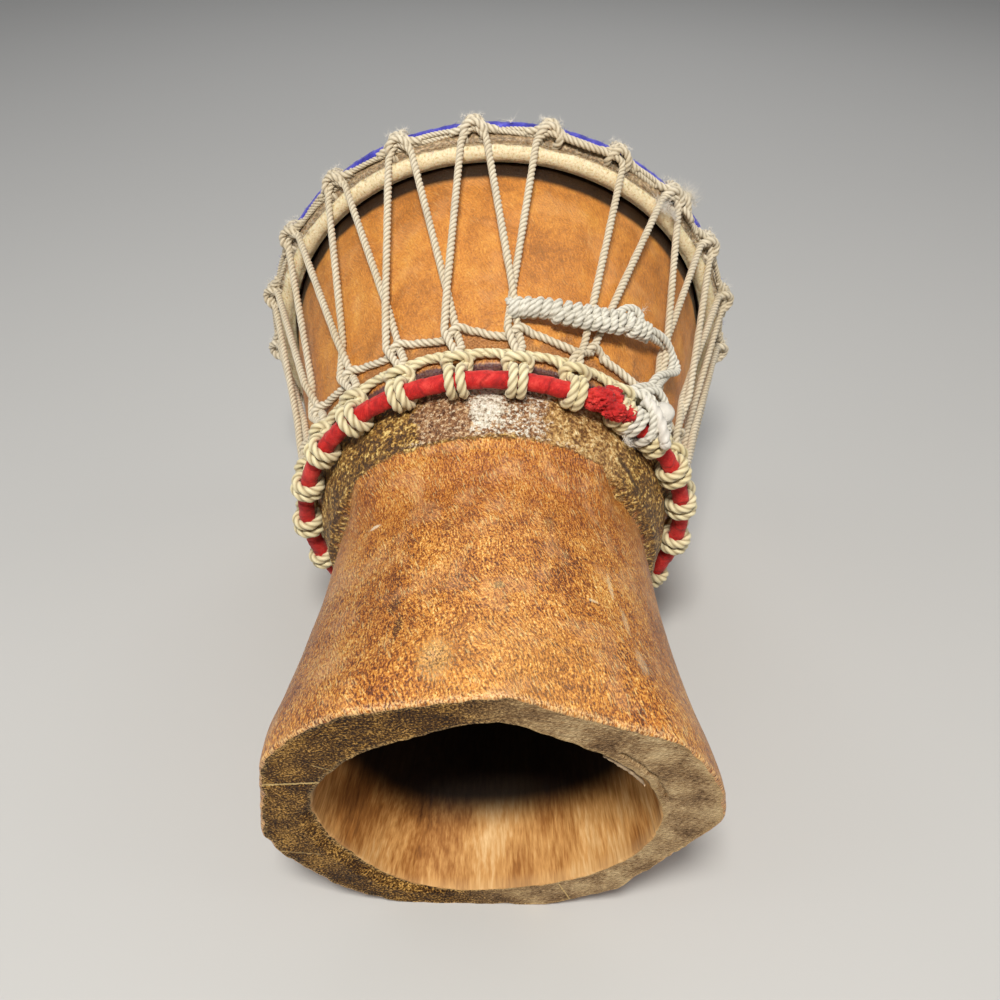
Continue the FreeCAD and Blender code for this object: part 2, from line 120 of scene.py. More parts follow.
def grid(rows, columns, closed=False):
    """Quads of a sheet that closes round its columns, and round its rows too if asked."""
    row = np.arange(rows if closed else rows - 1)[:, None]
    column = np.arange(columns)[None, :]
    beyond = (column + 1) % columns
    above = (row + 1) % rows
    corners = (row * columns + column, row * columns + beyond)
    return np.stack(corners + (above * columns + beyond, above * columns + column), -1).reshape(-1, 4)


def inside_out(points, faces):
    """Whether a closed mesh has its faces pointing inwards."""
    volume = 0.0
    for group in faces:
        for k in range(1, group.shape[1] - 1):
            a, b, c = (points[group[:, m]] for m in (0, k, k + 1))
            volume += float(np.einsum("ij,ij->i", a, np.cross(b, c)).sum())
    return volume < 0


def piece(name, points, faces, materials, facts=None, material_index=None, nodes=()):
    """A mesh object from row points in millimetres, riding on the drum."""
    points = np.asarray(points, float)
    faces = [np.asarray(group) for group in faces if len(group)]
    if inside_out(points - points.mean(0), faces):
        faces = [group[:, ::-1] for group in faces]
    mesh = bpy.data.meshes.new(name)
    mesh.vertices.add(len(points))
    mesh.vertices.foreach_set("co", (points * 0.001).astype(np.float32).ravel())
    loops = np.concatenate([group.ravel() for group in faces])
    sizes = np.concatenate([np.full(len(group), group.shape[1]) for group in faces])
    starts = np.concatenate([[0], np.cumsum(sizes)[:-1]])
    mesh.loops.add(len(loops))
    mesh.loops.foreach_set("vertex_index", loops.astype(np.int32))
    mesh.polygons.add(len(sizes))
    mesh.polygons.foreach_set("loop_start", starts.astype(np.int32))
    mesh.polygons.foreach_set("use_smooth", np.ones(len(sizes), bool))
    if material_index is not None:
        mesh.polygons.foreach_set("material_index", material_index.astype(np.int32))
    mesh.update(calc_edges=True)
    for key, values in (facts or {}).items():
        kind = "FLOAT" if values.ndim == 1 else "FLOAT_VECTOR"
        field = "value" if values.ndim == 1 else "vector"
        layer = mesh.attributes.new(key, kind, "POINT")
        layer.data.foreach_set(field, np.asarray(values, np.float32).ravel())
    for material in materials:
        mesh.materials.append(material)
    made = bpy.data.objects.new(name, mesh)
    bpy.context.scene.collection.objects.link(made)
    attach(made, "root")
    if nodes:
        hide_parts(*nodes)
    return made


class Heap:
    """Gathers several meshes that make up one piece."""

    def __init__(self):
        self.points, self.faces, self.facts, self.count = [], [], [], 0

    def add(self, points, faces, facts):
        self.points.append(points)
        self.faces += [group + self.count for group in faces]
        self.facts.append(facts)
        self.count += len(points)

    def make(self, name, materials, nodes=()):
        facts = {
            key: np.concatenate([each[key] for each in self.facts]) for key in self.facts[0]
        }
        by_size = {}
        for group in self.faces:
            by_size.setdefault(group.shape[1], []).append(group)
        faces = [np.concatenate(groups) for groups in by_size.values()]
        return piece(name, np.concatenate(self.points), faces, materials, facts, None, nodes)


# ---------------------------------------------------------------- rope


def resample(points, step):
    length = np.concatenate([[0], np.cumsum(np.linalg.norm(np.diff(points, axis=0), axis=1))])
    count = max(int(round(length[-1] / step)), 4)
    at = np.linspace(0, length[-1], count + 1)
    return np.stack([np.interp(at, length, points[:, k]) for k in range(3)], 1)


def soften(points, spread):
    """Rounds a route's corners over a few millimetres."""
    fine = resample(points, 0.25)
    half = int(round(3 * spread / 0.25))
    weight = np.exp(-0.5 * (np.arange(-half, half + 1) * 0.25 / spread) ** 2)
    weight /= weight.sum()
    half = min(half, len(fine) - 2)
    weight = weight[len(weight) // 2 - half:len(weight) // 2 + half + 1]
    weight = weight / weight.sum()
    first = 2 * fine[0] - fine[half:0:-1]
    last = 2 * fine[-1] - fine[-2:-half - 2:-1]
    padded = np.concatenate([first, fine, last])
    return np.stack([np.convolve(padded[:, k], weight, "valid") for k in range(3)], 1)


def headings(path):
    """The unit vector along a path at each of its points."""
    ahead = np.gradient(path, axis=0)
    return ahead / np.linalg.norm(ahead, axis=1)[:, None]


ROPE_RADIUS = 1.85
# along the rope, how far one strand takes to go round once
ROPE_LAY = 8.25
CRADLE_LAY = 13.0
# round a rope of three strands: points, their reach by place in a strand, and how deep they lie
SIDES = 12
LOBES = np.array([0.70, 0.92, 1.0, 0.92])
GROOVE = np.array([1.0, 0.28, 0.0, 0.28])


def rope(heap, route, radius=ROPE_RADIUS, lay=ROPE_LAY, spread=1.0, seed=0, wear=0.0):
    """Three twisted strands along a route of drum points, added to a heap."""
    random = np.random.default_rng(seed)
    path = soften(place(np.asarray(route, float)), spread)
    path = resample(path, lay / SIDES)
    count = len(path)
    ahead = headings(path)
    side = np.cross(ahead[0], [0.31, 0.42, 0.85])
    sides = np.empty_like(path)
    for k in range(count):
        side = side - ahead[k] * side.dot(ahead[k])
        side /= np.linalg.norm(side)
        sides[k] = side
    other = np.cross(ahead, sides)
    ring = np.arange(SIDES)
    station = np.arange(count)
    strand = (ring[None, :] - station[:, None]) % 4
    angle = 2 * np.pi * ring / SIDES
    swell = 1 + 0.035 * np.interp(station, station[::9], random.normal(size=len(station[::9])))
    reach = radius * LOBES[strand] * swell[:, None]
    reach *= 1 + wear * random.normal(size=reach.shape)
    body = path[:, None] + reach[..., None] * (
        np.cos(angle)[None, :, None] * sides[:, None] + np.sin(angle)[None, :, None] * other[:, None]
    )
    points = np.concatenate([body.reshape(-1, 3), path[[0, -1]]])
    here = (np.arange(count - 1)[:, None] * SIDES + ring[None, :])
    beyond = (np.arange(count - 1)[:, None] * SIDES + (ring[None, :] + 1) % SIDES)
    faces = np.concatenate([
        np.stack([here, beyond, beyond + SIDES], -1).reshape(-1, 3),
        np.stack([here, beyond + SIDES, here + SIDES], -1).reshape(-1, 3),
        np.stack([np.full(SIDES, count * SIDES), (ring + 1) % SIDES, ring], -1),
        np.stack([np.full(SIDES, count * SIDES + 1), ring, (ring + 1) % SIDES], -1)
        + np.array([0, (count - 1) * SIDES, (count - 1) * SIDES]),
    ])
    twist = angle[None, :] - 2 * np.pi * station[:, None] / SIDES
    along = station[:, None] * lay / SIDES + np.zeros(SIDES)
    fibre = np.stack([7 * np.cos(twist), 7 * np.sin(twist), 0.22 * along + 3.7 * seed], -1)
    ends = fibre[[0, -1], 0]
    facts = {
        "groove": np.concatenate([GROOVE[strand].ravel(), [0.5, 0.5]]),
        "fibre": np.concatenate([fibre.reshape(-1, 3), ends]),
        "tone": np.full(len(points), 0.25 * random.normal()),
    }
    heap.add(points, [faces], facts)


def local_route(angle, steps):
    """Drum points from (to the right, radius, height) steps at an angle."""
    return np.array([beside(angle, u, radius, height) for u, radius, height in steps])


def turn_round(centre, reach, start, stop, left, right, count=16):
    """A turn of rope round a ring whose section is centred at (radius, height)."""
    angle = np.radians(np.linspace(start, stop, count))
    side = np.linspace(left, right, count)
    return [
        (u, centre[0] + reach * math.cos(a), centre[1] + reach * math.sin(a))
        for u, a in zip(side, angle)
    ]


def off_ring(ring, reach, lift):
    """The (radius, height) of a point by a ring, lift degrees up from straight out."""
    lift = math.radians(lift)
    return ring[0] + reach * math.cos(lift), ring[1] + reach * math.sin(lift)


# ---------------------------------------------------------------- materials


def paint(red, green, blue):
    """A screen colour of 0 to 255 as a linear one."""
    def linear(value):
        value /= 255
        return value / 12.92 if value <= 0.04045 else ((value + 0.055) / 1.055) ** 2.4
    return (linear(red), linear(green), linear(blue), 1.0)


class Graph:
    """Short calls for building a material's nodes."""

    def __init__(self, name):
        self.material = bpy.data.materials.new(name)
        self.material.use_nodes = True
        self.tree = self.material.node_tree
        self.surface = next(n for n in self.tree.nodes if n.type == "BSDF_PRINCIPLED")

    def node(self, kind, values=None, **settings):
        made = self.tree.nodes.new(kind)
        for key, setting in settings.items():
            setattr(made, key, setting)
        for key, value in (values or {}).items():
            if isinstance(value, bpy.types.NodeSocket):
                self.tree.links.new(value, made.inputs[key])
            else:
                made.inputs[key].default_value = value
        return made

    def fact(self, name, output="Fac"):
        return self.node("ShaderNodeAttribute", attribute_name=name).outputs[output]

    def math(self, kind, first, second=0.0, third=0.0):
        values = {0: first, 1: second, 2: third}
        return self.node("ShaderNodeMath", values, operation=kind).outputs[0]

    def times(self, first, second):
        return self.math("MULTIPLY", first, second)

    def scaled(self, value, scale, base):
        """A value times a scale, added to a base."""
        return self.math("MULTIPLY_ADD", value, scale, base)

    def sway(self, value, scale, base):
        """A noise value's departure from one half times a scale, added to a base."""
        return self.scaled(self.math("SUBTRACT", value, 0.5), scale, base)

    def stretch(self, vector, scale, shift=None):
        made = self.node("ShaderNodeVectorMath", {0: vector, 1: scale}, operation="MULTIPLY")
        if shift is None:
            return made.outputs[0]
        values = {0: made.outputs[0], 1: shift}
        return self.node("ShaderNodeVectorMath", values, operation="ADD").outputs[0]

    def noise(self, vector, detail, rough):
        values = {"Vector": vector, "Scale": 1.0, "Detail": detail, "Roughness": rough}
        return self.node("ShaderNodeTexNoise", values).outputs["Fac"]

    def cloud(self, vector, scale, detail=3.0, rough=0.55, shift=None):
        """Noise on coordinates that are stretched first."""
        return self.noise(self.stretch(vector, scale, shift), detail, rough)

    def turned(self, vector, degrees):
        values = {"Vector": vector, "Angle": math.radians(degrees)}
        return self.node("ShaderNodeVectorRotate", values, rotation_type="Z_AXIS").outputs[0]

    def band(self, value, low, high, start=0.0, stop=1.0):
        values = {"Value": value, "From Min": low, "From Max": high, "To Min": start, "To Max": stop}
        made = self.node("ShaderNodeMapRange", values, interpolation_type="SMOOTHSTEP")
        return made.outputs["Result"]

    def window(self, value, low, high, edge):
        """One between low and high, fading to nothing over an edge outside them."""
        rise = self.band(value, low - edge, low + edge)
        fall = self.band(value, high - edge, high + edge, 1.0, 0.0)
        return self.times(rise, fall)

    def ramp(self, factor, stops):
        made = self.node("ShaderNodeValToRGB", {"Fac": factor})
        ladder = made.color_ramp
        while len(ladder.elements) < len(stops):
            ladder.elements.new(0.5)
        for element, (position, colour) in zip(ladder.elements, stops):
            element.position = position
            element.color = colour
        return made.outputs["Color"]

    def mix(self, factor, first, second):
        values = {0: factor, 6: first, 7: second}
        return self.node("ShaderNodeMix", values, data_type="RGBA").outputs[2]

    def tint(self, mask, amount, first, second):
        """The second colour over the first, by an amount where a mask says."""
        return self.mix(self.times(mask, amount), first, second)

    def bump(self, height, strength, distance, before=None):
        values = {"Height": height, "Strength": strength, "Distance": distance * 0.001}
        if before is not None:
            values["Normal"] = before
        return self.node("ShaderNodeBump", values).outputs["Normal"]

    def finish(self, colour, roughness, normal=None, **constants):
        target = self.surface.inputs
        for key, value in (("Base Color", colour), ("Roughness", roughness), ("Normal", normal)):
            if isinstance(value, bpy.types.NodeSocket):
                self.tree.links.new(value, target[key])
            elif value is not None:
                target[key].default_value = value
        for key, value in constants.items():
            target[key.replace("_", " ")].default_value = value
        return self.material


def collar_paint(g, colour, lumps, fleck, bright, ragged):
    """Bare pale paint on the collar, a scuffed zone beside it, and the plum line above the ring."""
    drum = g.fact("drum", "Vector")
    turn = g.fact("turn")
    height = g.fact("height")
    shift = g.math("SUBTRACT", lumps, 0.5)
    torn_turn = g.scaled(shift, 13.0, turn)
    torn_height = g.scaled(shift, -12.0, height)
    crust = g.cloud(drum, (0.62, 0.62, 0.62), 4.0, 0.75, shift=(5.0, 1.0, 9.0))
    solid = g.times(g.window(torn_turn, 87.5, 97.0, 0.8), g.window(torn_height, 137.0, 160.0, 0.8))
    loose = g.times(g.window(torn_turn, 74.0, 98.0, 1.2), g.window(torn_height, 133.0, 160.0, 1.2))
    solid = g.times(solid, g.band(crust, 0.36, 0.43))
    loose = g.times(loose, g.band(crust, 0.50, 0.56))
    scuff = g.times(g.window(torn_turn, 74.0, 114.0, 2.0), g.window(ragged, 1.0, 30.0, 1.0))
    colour = g.tint(scuff, 0.75, colour, g.ramp(bright, [
        (0.36, paint(92, 52, 26)), (0.50, paint(146, 98, 62)), (0.64, paint(206, 170, 136)),
    ]))
    fringe = g.times(g.window(ragged, 0.0, 3.2, 0.8), g.window(turn, 62.0, 118.0, 4.0))
    flakes = g.times(g.math("MAXIMUM", scuff, fringe), g.band(crust, 0.54, 0.60))
    colour = g.tint(flakes, 0.8, colour, paint(236, 212, 176))
    colour = g.mix(g.math("MAXIMUM", solid, loose), colour, g.ramp(fleck, [
        (0.34, paint(128, 104, 80)), (0.46, paint(220, 208, 184)), (0.60, paint(248, 242, 226)),
    ]))
    # plum line above the ring
    line_at = g.scaled(shift, 2.0, height)
    plum = g.window(line_at, 163.4, 167.0, 0.5)
    return g.tint(plum, 0.85, colour, paint(62, 34, 52))


def scarred(g, colour, flat, grain):
    """Scars in the stem: a ragged knot with its pale surround, a worn fleck, dark checks and a scuff."""
    turn = g.fact("turn")
    height = g.fact("height")
    for angle, level, across, down, tint, amount in (
        (131.0, 99.7, 3.6, 1.3, paint(244, 224, 192), 0.85),
        (STEM_KNOT, STEM_KNOT_HEIGHT + 0.5, 6.0, 10.5, paint(236, 196, 126), 0.32),
        (112.5, 35.0, 1.5, 8.5, paint(58, 30, 14), 0.75),
        (115.0, 47.0, 2.6, 4.5, paint(66, 34, 16), 0.70),
        (103.5, 87.0, 2.8, 5.0, paint(104, 52, 20), 0.60),
        (72.0, 92.0, 3.2, 7.0, paint(100, 52, 20), 0.50),
        (87.6, 52.8, 2.2, 2.4, paint(126, 112, 76), 0.65),
        (61.5, 53.5, 2.4, 1.0, paint(240, 226, 190), 0.50),
        (61.0, 52.4, 2.6, 0.7, paint(70, 38, 18), 0.45),
        (53.6, 66.0, 1.3, 8.0, paint(248, 224, 176), 0.45),
        (51.0, 50.0, 1.6, 8.0, paint(246, 220, 170), 0.35),
        (49.5, 31.0, 2.8, 7.5, paint(244, 220, 176), 0.30),
    ):
        near_turn = g.math("DIVIDE", g.math("SUBTRACT", turn, angle), across * 0.8)
        near_level = g.math("DIVIDE", g.math("SUBTRACT", height, level), down)
        near = g.math("ADD", g.math("POWER", g.math("ABSOLUTE", near_turn), 2.0),
                     g.math("POWER", g.math("ABSOLUTE", near_level), 2.0))
        near = g.scaled(grain, 3.4, near)
        mask = g.times(g.band(near, 1.9, 2.6, 1.0, 0.0), amount)
        colour = g.mix(mask, colour, tint)
    speck = g.cloud(flat, (1.05, 1.05, 0.0), 3.0, 0.7, shift=(2.0, 6.0, 0.0))
    spot = g.node("ShaderNodeVectorMath", {0: flat, 1: (STEM_KNOT * DEGREE, STEM_KNOT_HEIGHT, 0.0)},
                  operation="DISTANCE").outputs["Value"]
    knot = g.times(g.band(spot, 9.0, 1.0), g.band(speck, 0.49, 0.43))
    return g.tint(knot, 0.75, colour, paint(64, 34, 14))


def wood_outside():
    """Carved stem and bowl, with a rough collar between them."""
    g = Graph("carved_wood_outside")
    drum = g.fact("drum", "Vector")
    turn = g.fact("turn")
    height = g.fact("height")
    above = g.fact("above")
    # flat coordinates in millimetres, round the drum and along it
    flat = g.node("ShaderNodeCombineXYZ", {"X": g.times(turn, DEGREE), "Y": height}).outputs[0]
    patch = g.cloud(flat, (0.030, 0.024, 0.0), 3.0, 0.6)
    wander = g.node("ShaderNodeCombineXYZ", {"X": g.times(patch, 9.0)}).outputs[0]
    bent = g.node("ShaderNodeVectorMath", {0: flat, 1: wander}, operation="ADD").outputs[0]
    cloud = g.cloud(bent, (0.13, 0.075, 0.0), 3.0, 0.65, shift=(4.0, 9.0, 0.0))
    grain = g.cloud(bent, (1.5, 0.95, 0.0), 2.0, 0.6)
    group = g.cloud(flat, (0.055, 0.045, 0.0), 2.0, 0.6, shift=(31.0, 5.0, 0.0))

    def leaning(lean, across, along, detail, rough, shift):
        """Noise drawn out along a line that leans to one side of the axis."""
        scale, offset = (across, along, 0.0), (shift, shift, 0.0)
        return g.cloud(g.turned(bent, lean), scale, detail, rough, offset)

    steep = leaning(9.0, 1.45, 0.30, 3.0, 0.65, 3.0)
    slant = leaning(27.0, 1.55, 0.28, 3.0, 0.65, 8.0)
    lies = g.band(group, 0.44, 0.54)
    field = g.scaled(g.math("SUBTRACT", slant, steep), lies, steep)
    on_bowl = g.band(height, 160.0, 176.0)
    contrast = g.band(height, 160.0, 176.0, 1.0, 0.42)
    detail = g.sway(field, 1.15,
                   g.times(g.math("SUBTRACT", grain, 0.5), 0.85))
    tone = g.scaled(patch, 0.46, g.scaled(cloud, 0.36, 0.09))
    tone = g.scaled(detail, contrast, tone)
    colour = g.ramp(tone, [
        (0.30, paint(84, 40, 10)), (0.42, paint(146, 80, 22)), (0.52, paint(194, 120, 42)),
        (0.64, paint(222, 158, 68)), (0.82, paint(250, 214, 138)),
    ])
    # regions: orange under the collar, dark and rough on the left, pale low in front
    under = g.window(height, 92.0, 131.0, 22.0)
    colour = g.tint(under, 0.34, colour, paint(160, 86, 26))
    left = g.times(g.band(turn, 104.0, 124.0), g.window(height, 12.0, 78.0, 12.0))
    colour = g.tint(left, 0.26, colour, paint(104, 52, 18))
    low = g.times(g.window(turn, 64.0, 102.0, 14.0), g.band(height, 46.0, 20.0))
    colour = g.tint(low, 0.16, colour, paint(232, 180, 104))
    dusty = g.band(group, 0.52, 0.64)
    colour = g.tint(dusty, 0.22, colour, paint(222, 168, 118))
    strokes = g.band(leaning(20.0, 1.6, 0.17, 2.0, 0.5, 8.0), 0.57, 0.67)
    marks = g.times(strokes, g.band(group, 0.40, 0.52))
    marks = g.times(marks, contrast)
    colour = g.tint(marks, 0.42, colour, paint(252, 224, 152))
    pores = g.times(g.band(leaning(12.0, 1.5, 0.42, 2.0, 0.5, 21.0), 0.57, 0.67), contrast)
    colour = g.tint(pores, g.scaled(left, 0.3, 0.50), colour,
                   paint(84, 38, 12))
    colour = g.tint(on_bowl, 0.34, colour, paint(222, 152, 74))
    # grime: brown low on the bowl between the ring and the weave; under the hoop a painted shadow with some
    # grime, nearly black
    grimy = g.sway(cloud, 40.0, height)
    grime = g.times(g.window(grimy, 158.0, 183.0, 4.0), on_bowl)
    colour = g.tint(grime, 0.62, colour, g.ramp(grain, [
        (0.38, paint(84, 52, 24)), (0.60, paint(168, 120, 80)),
    ]))
    # painted shadow under the hoop: a nearly black band on the bowl
    colour = g.tint(g.band(height, 275.0, 279.0), 0.96, colour, paint(14, 8, 5))
    # collar: rough and dark, with pale specks that are painted glints
    fleck = g.cloud(drum, (0.62, 0.62, 0.72), 3.0, 0.62)
    lumps = g.cloud(drum, (0.22, 0.22, 0.22), 3.0, 0.6)
    ragged = g.sway(lumps, 5.0, above)
    collar = g.window(ragged, -0.8, 32.0, 0.9)
    bright = g.scaled(lumps, 0.5, g.scaled(fleck, 0.9, -0.2))
    # the palest stops paint glints into the specks
    dark = g.ramp(bright, [
        (0.40, paint(58, 36, 8)), (0.49, paint(116, 80, 26)), (0.57, paint(174, 130, 54)),
        (0.66, paint(244, 212, 132)),
    ])
    sandy = g.ramp(bright, [
        (0.38, paint(104, 66, 26)), (0.48, paint(172, 128, 68)), (0.57, paint(212, 172, 108)),
        (0.68, paint(248, 226, 172)),
    ])
    dark = g.mix(g.window(turn, 46.0, 80.0, 7.0), dark, sandy)
    colour = g.tint(collar, 0.94, colour, dark)
    groove = g.scaled(turn, -0.67, height)
    groove = g.times(g.window(groove, 106.8, 109.0, 0.6), g.window(turn, 34.0, 48.0, 1.5))
    colour = g.tint(groove, 0.75, colour, paint(58, 38, 16))
    colour = collar_paint(g, colour, lumps, fleck, bright, ragged)
    colour = scarred(g, colour, flat, grain)
    # worn pale edge at the foot
    rim = g.band(height, 0.4, 3.4, 0.55, 0.0)
    colour = g.tint(rim, g.band(grain, 0.42, 0.6), colour, paint(240, 206, 150))
    relief_height = g.scaled(marks, 0.22, grain)
    relief_height = g.scaled(pores, -0.25, relief_height)
    normal = g.bump(relief_height, 1.0, 0.55)
    normal = g.bump(g.times(collar, g.math("ADD", fleck, lumps)), 1.0, 1.7, normal)
    roughness = g.scaled(collar, 0.12, g.band(grain, 0.3, 0.7, 0.34, 0.55))
    return g.finish(colour, roughness, normal, Coat_Weight=0.12, Coat_Roughness=0.22,
                    Specular_IOR_Level=0.5)


def wood_inside():
    g = Graph("carved_wood_inside")
    drum = g.fact("drum", "Vector")
    wide = g.cloud(drum, (0.05, 0.05, 0.022), 3.0)
    streak = g.cloud(drum, (0.55, 0.55, 0.02), 3.0, 0.55, shift=(3.0, 1.0, 2.0))
    fine = g.cloud(drum, (1.3, 1.3, 0.03), 2.0, 0.5)
    tone = g.scaled(streak, 0.35, g.times(wide, 0.60))
    tone = g.sway(fine, 0.18, tone)
    colour = g.ramp(tone, [
        (0.28, paint(98, 54, 20)), (0.42, paint(162, 106, 50)), (0.54, paint(206, 152, 88)),
        (0.70, paint(240, 202, 146)),
    ])
    height = g.fact("height")
    part = g.node("ShaderNodeSeparateXYZ", {0: drum}).outputs
    # painted shadow: nearly black deeper in the hollow and on its upper inside wall, where the wood above
    # shades it
    painted_shade = g.math("MAXIMUM", g.band(height, 25.0, 41.0), g.times(g.band(part[1], 6.0, 26.0), 0.94))
    colour = g.tint(painted_shade, 0.97, colour, paint(8, 3, 2))
    rim = g.band(height, 1.0, 7.0, 0.6, 0.0)
    colour = g.tint(rim, 0.45, colour, paint(228, 190, 136))
    grain = g.scaled(streak, 0.6, fine)
    return g.finish(colour, 0.70, g.bump(grain, 0.3, 0.3), Specular_IOR_Level=0.22)


def wood_end():
    g = Graph("carved_wood_end_grain")
    drum = g.fact("drum", "Vector")
    part = g.node("ShaderNodeSeparateXYZ", {0: drum}).outputs
    wide = g.cloud(drum, (0.06, 0.06, 0.06), 3.0)
    speck = g.cloud(drum, (1.1, 1.1, 1.1), 4.0, 0.7)
    # saw and chisel streaks run across the wall on the right
    saw = g.cloud(g.turned(drum, -24.0), (0.5, 2.6, 0.1), 5.0, 0.8)
    right = g.band(part[0], -18.0, 34.0)
    tone = g.mix(right, speck, saw)
    tone = g.scaled(wide, 0.26, g.scaled(tone, 0.66, 0.10))
    brown = g.ramp(tone, [
        (0.49, paint(24, 11, 3)), (0.54, paint(74, 44, 9)), (0.585, paint(116, 78, 22)),
        (0.65, paint(216, 168, 90)),
    ])
    dusty = g.ramp(tone, [
        (0.48, paint(62, 38, 18)), (0.53, paint(138, 104, 66)), (0.575, paint(190, 156, 110)),
        (0.65, paint(240, 216, 168)),
    ])
    colour = g.mix(right, brown, dusty)
    # pale hairline splits across the wall
    for start, stop, width, strength in (
        ((-83.0, 25.5), (-57.0, 29.0), 0.75, 0.95),
        ((-84.5, -33.0), (-68.0, -35.0), 0.45, 0.5),
        ((31.6, -62.0), (38.4, -82.0), 0.5, 0.65),
        ((-62.0, 42.0), (-46.0, 33.0), 0.35, 0.5),
    ):
        reach = math.hypot(stop[0] - start[0], stop[1] - start[1])
        way = ((stop[0] - start[0]) / reach, (stop[1] - start[1]) / reach)
        apart = g.scaled(part[1], way[0], start[1] * -way[0] + start[0] * way[1])
        apart = g.scaled(part[0], -way[1], apart)
        along = g.scaled(part[0], way[0], -start[0] * way[0] - start[1] * way[1])
        along = g.scaled(part[1], way[1], along)
        apart = g.sway(speck, 0.9, apart)
        near = g.band(g.math("ABSOLUTE", apart), width * 0.4, width, 1.0, 0.0)
        near = g.times(near, g.window(along, 0.0, reach, 0.4))
        colour = g.tint(near, strength, colour, paint(238, 206, 140))
    edge = g.fact("edge")
    worn = g.times(g.band(edge, 0.90, 0.985), g.band(speck, 0.45, 0.62))
    colour = g.tint(worn, 0.6, colour, paint(226, 190, 128))
    lip = g.times(g.band(edge, 0.0, 0.10, 1.0, 0.0), g.band(speck, 0.42, 0.6))
    colour = g.tint(lip, 0.5, colour, paint(220, 186, 128))
    normal = g.bump(tone, 0.6, 0.6)
    return g.finish(colour, 0.68, normal, Specular_IOR_Level=0.22)


def hide():
    g = Graph("goatskin")
    drum = g.fact("drum", "Vector")
    height = g.fact("height")
    part = g.node("ShaderNodeSeparateXYZ", {0: drum}).outputs
    mottle = g.cloud(drum, (0.045, 0.03, 0.04), 5.0, 0.62)
    fine = g.cloud(drum, (0.7, 0.7, 0.7), 4.0, 0.65)
    colour = g.ramp(mottle, [
        (0.30, paint(190, 162, 118)), (0.47, paint(222, 202, 164)), (0.62, paint(236, 222, 190)),
        (0.80, paint(244, 236, 214)),
    ])
    spine = g.band(g.math("ABSOLUTE", g.scaled(mottle, 14.0,
                                           g.math("SUBTRACT", part[0], 9.0))), 2.0, 17.0, 1.0, 0.0)
    colour = g.tint(spine, 0.45, colour, paint(150, 112, 72))
    follicle = g.node("ShaderNodeTexVoronoi", {"Vector": drum, "Scale": 0.55}).outputs["Distance"]
    dots = g.band(follicle, 0.06, 0.16, 0.5, 0.0)
    colour = g.tint(dots, 0.6, colour, paint(120, 90, 58))
    # rawhide fold round the hoop: yellower, with cracks and a brown upper strip
    fold = g.window(height, 282.0, 293.0, 1.0)
    crack = g.cloud(drum, (0.9, 0.9, 0.25), 4.0, 0.7, shift=(2.0, 4.0, 1.0))
    hideband = g.ramp(crack, [
        (0.32, paint(190, 158, 106)), (0.44, paint(226, 206, 160)), (0.60, paint(238, 226, 192)),
    ])
    colour = g.mix(fold, colour, hideband)
    strip = g.sway(mottle, 5.0, height)
    strip = g.window(strip, 286.8, 297.0, 0.6)
    wrinkle = g.cloud(drum, (0.5, 0.5, 1.4), 3.0, 0.6, shift=(9.0, 2.0, 6.0))
    colour = g.tint(strip, 0.85, colour, g.ramp(wrinkle, [
        (0.40, paint(92, 68, 44)), (0.52, paint(146, 116, 84)), (0.64, paint(196, 170, 132)),
    ]))
    grain = g.math("ADD", fine, g.times(crack, g.times(fold, 1.2)))
    return g.finish(colour, 0.5, g.bump(grain, 0.6, 0.5), Specular_IOR_Level=0.4,
                    Subsurface_Weight=0.08, Subsurface_Scale=0.004)


def cloth(name, dark, middle, light, sheen, weave=2.6):
    g = Graph(name)
    wrap = g.fact("wrap", "Vector")
    drum = g.fact("drum", "Vector")
    seam_and_crease_shade = g.fact("seam_and_crease_shade")
    threads = g.cloud(wrap, (weave, weave * 0.5, 1.0), 2.0, 0.6)
    worn = g.cloud(drum, (0.16, 0.16, 0.16), 4.0, 0.62)
    tone = g.scaled(threads, 0.35, g.times(worn, 0.65))
    colour = g.ramp(tone, [(0.30, dark), (0.50, middle), (0.70, light)])
    # darker along the seams between laps and in the creases of the bunched cloth: painted shade
    colour = g.tint(seam_and_crease_shade, 0.6, colour, dark)
    return g.finish(colour, 0.72, g.bump(g.math("ADD", threads, worn), 0.6, 0.4),
                    Sheen_Weight=sheen, Sheen_Roughness=0.4, Specular_IOR_Level=0.35)


def cord(name, dirt_and_groove_shade, body, glow, stain=0.0):
    g = Graph(name)
    groove = g.fact("groove")
    tone = g.fact("tone")
    fibre = g.noise(g.fact("fibre", "Vector"), 3.0, 0.6)
    place_at = g.node("ShaderNodeNewGeometry").outputs["Position"]
    soil = g.cloud(place_at, (22.0, 22.0, 22.0), 4.0, 0.6)
    level = g.scaled(tone, 0.06, g.scaled(fibre, 0.55,
                                                    g.times(soil, 0.42)))
    colour = g.ramp(level, [(0.32, body), (0.58, glow)])
    colour = g.tint(g.band(soil, 0.56, 0.72), stain, colour, dirt_and_groove_shade)
    # painted shade in the grooves between strands, with some dirt
    colour = g.tint(groove, 0.72, colour, dirt_and_groove_shade)
    return g.finish(colour, 0.58, g.bump(fibre, 0.55, 0.22), Sheen_Weight=0.2,
                    Sheen_Roughness=0.5, Specular_IOR_Level=0.45)


def plain(name, colour, roughness, scale, amount, metallic=0.0):
    """A nearly plain surface with a little procedural unevenness."""
    g = Graph(name)
    here = g.node("ShaderNodeNewGeometry").outputs["Position"]
    speck = g.cloud(here, (scale, scale, scale), 4.0, 0.6)
    faded = tuple(channel * (1 - amount) for channel in colour[:3]) + (1.0,)
    tint = g.mix(speck, colour, faded)
    return g.finish(tint, roughness, g.bump(speck, 0.3, 0.3), Metallic=metallic)


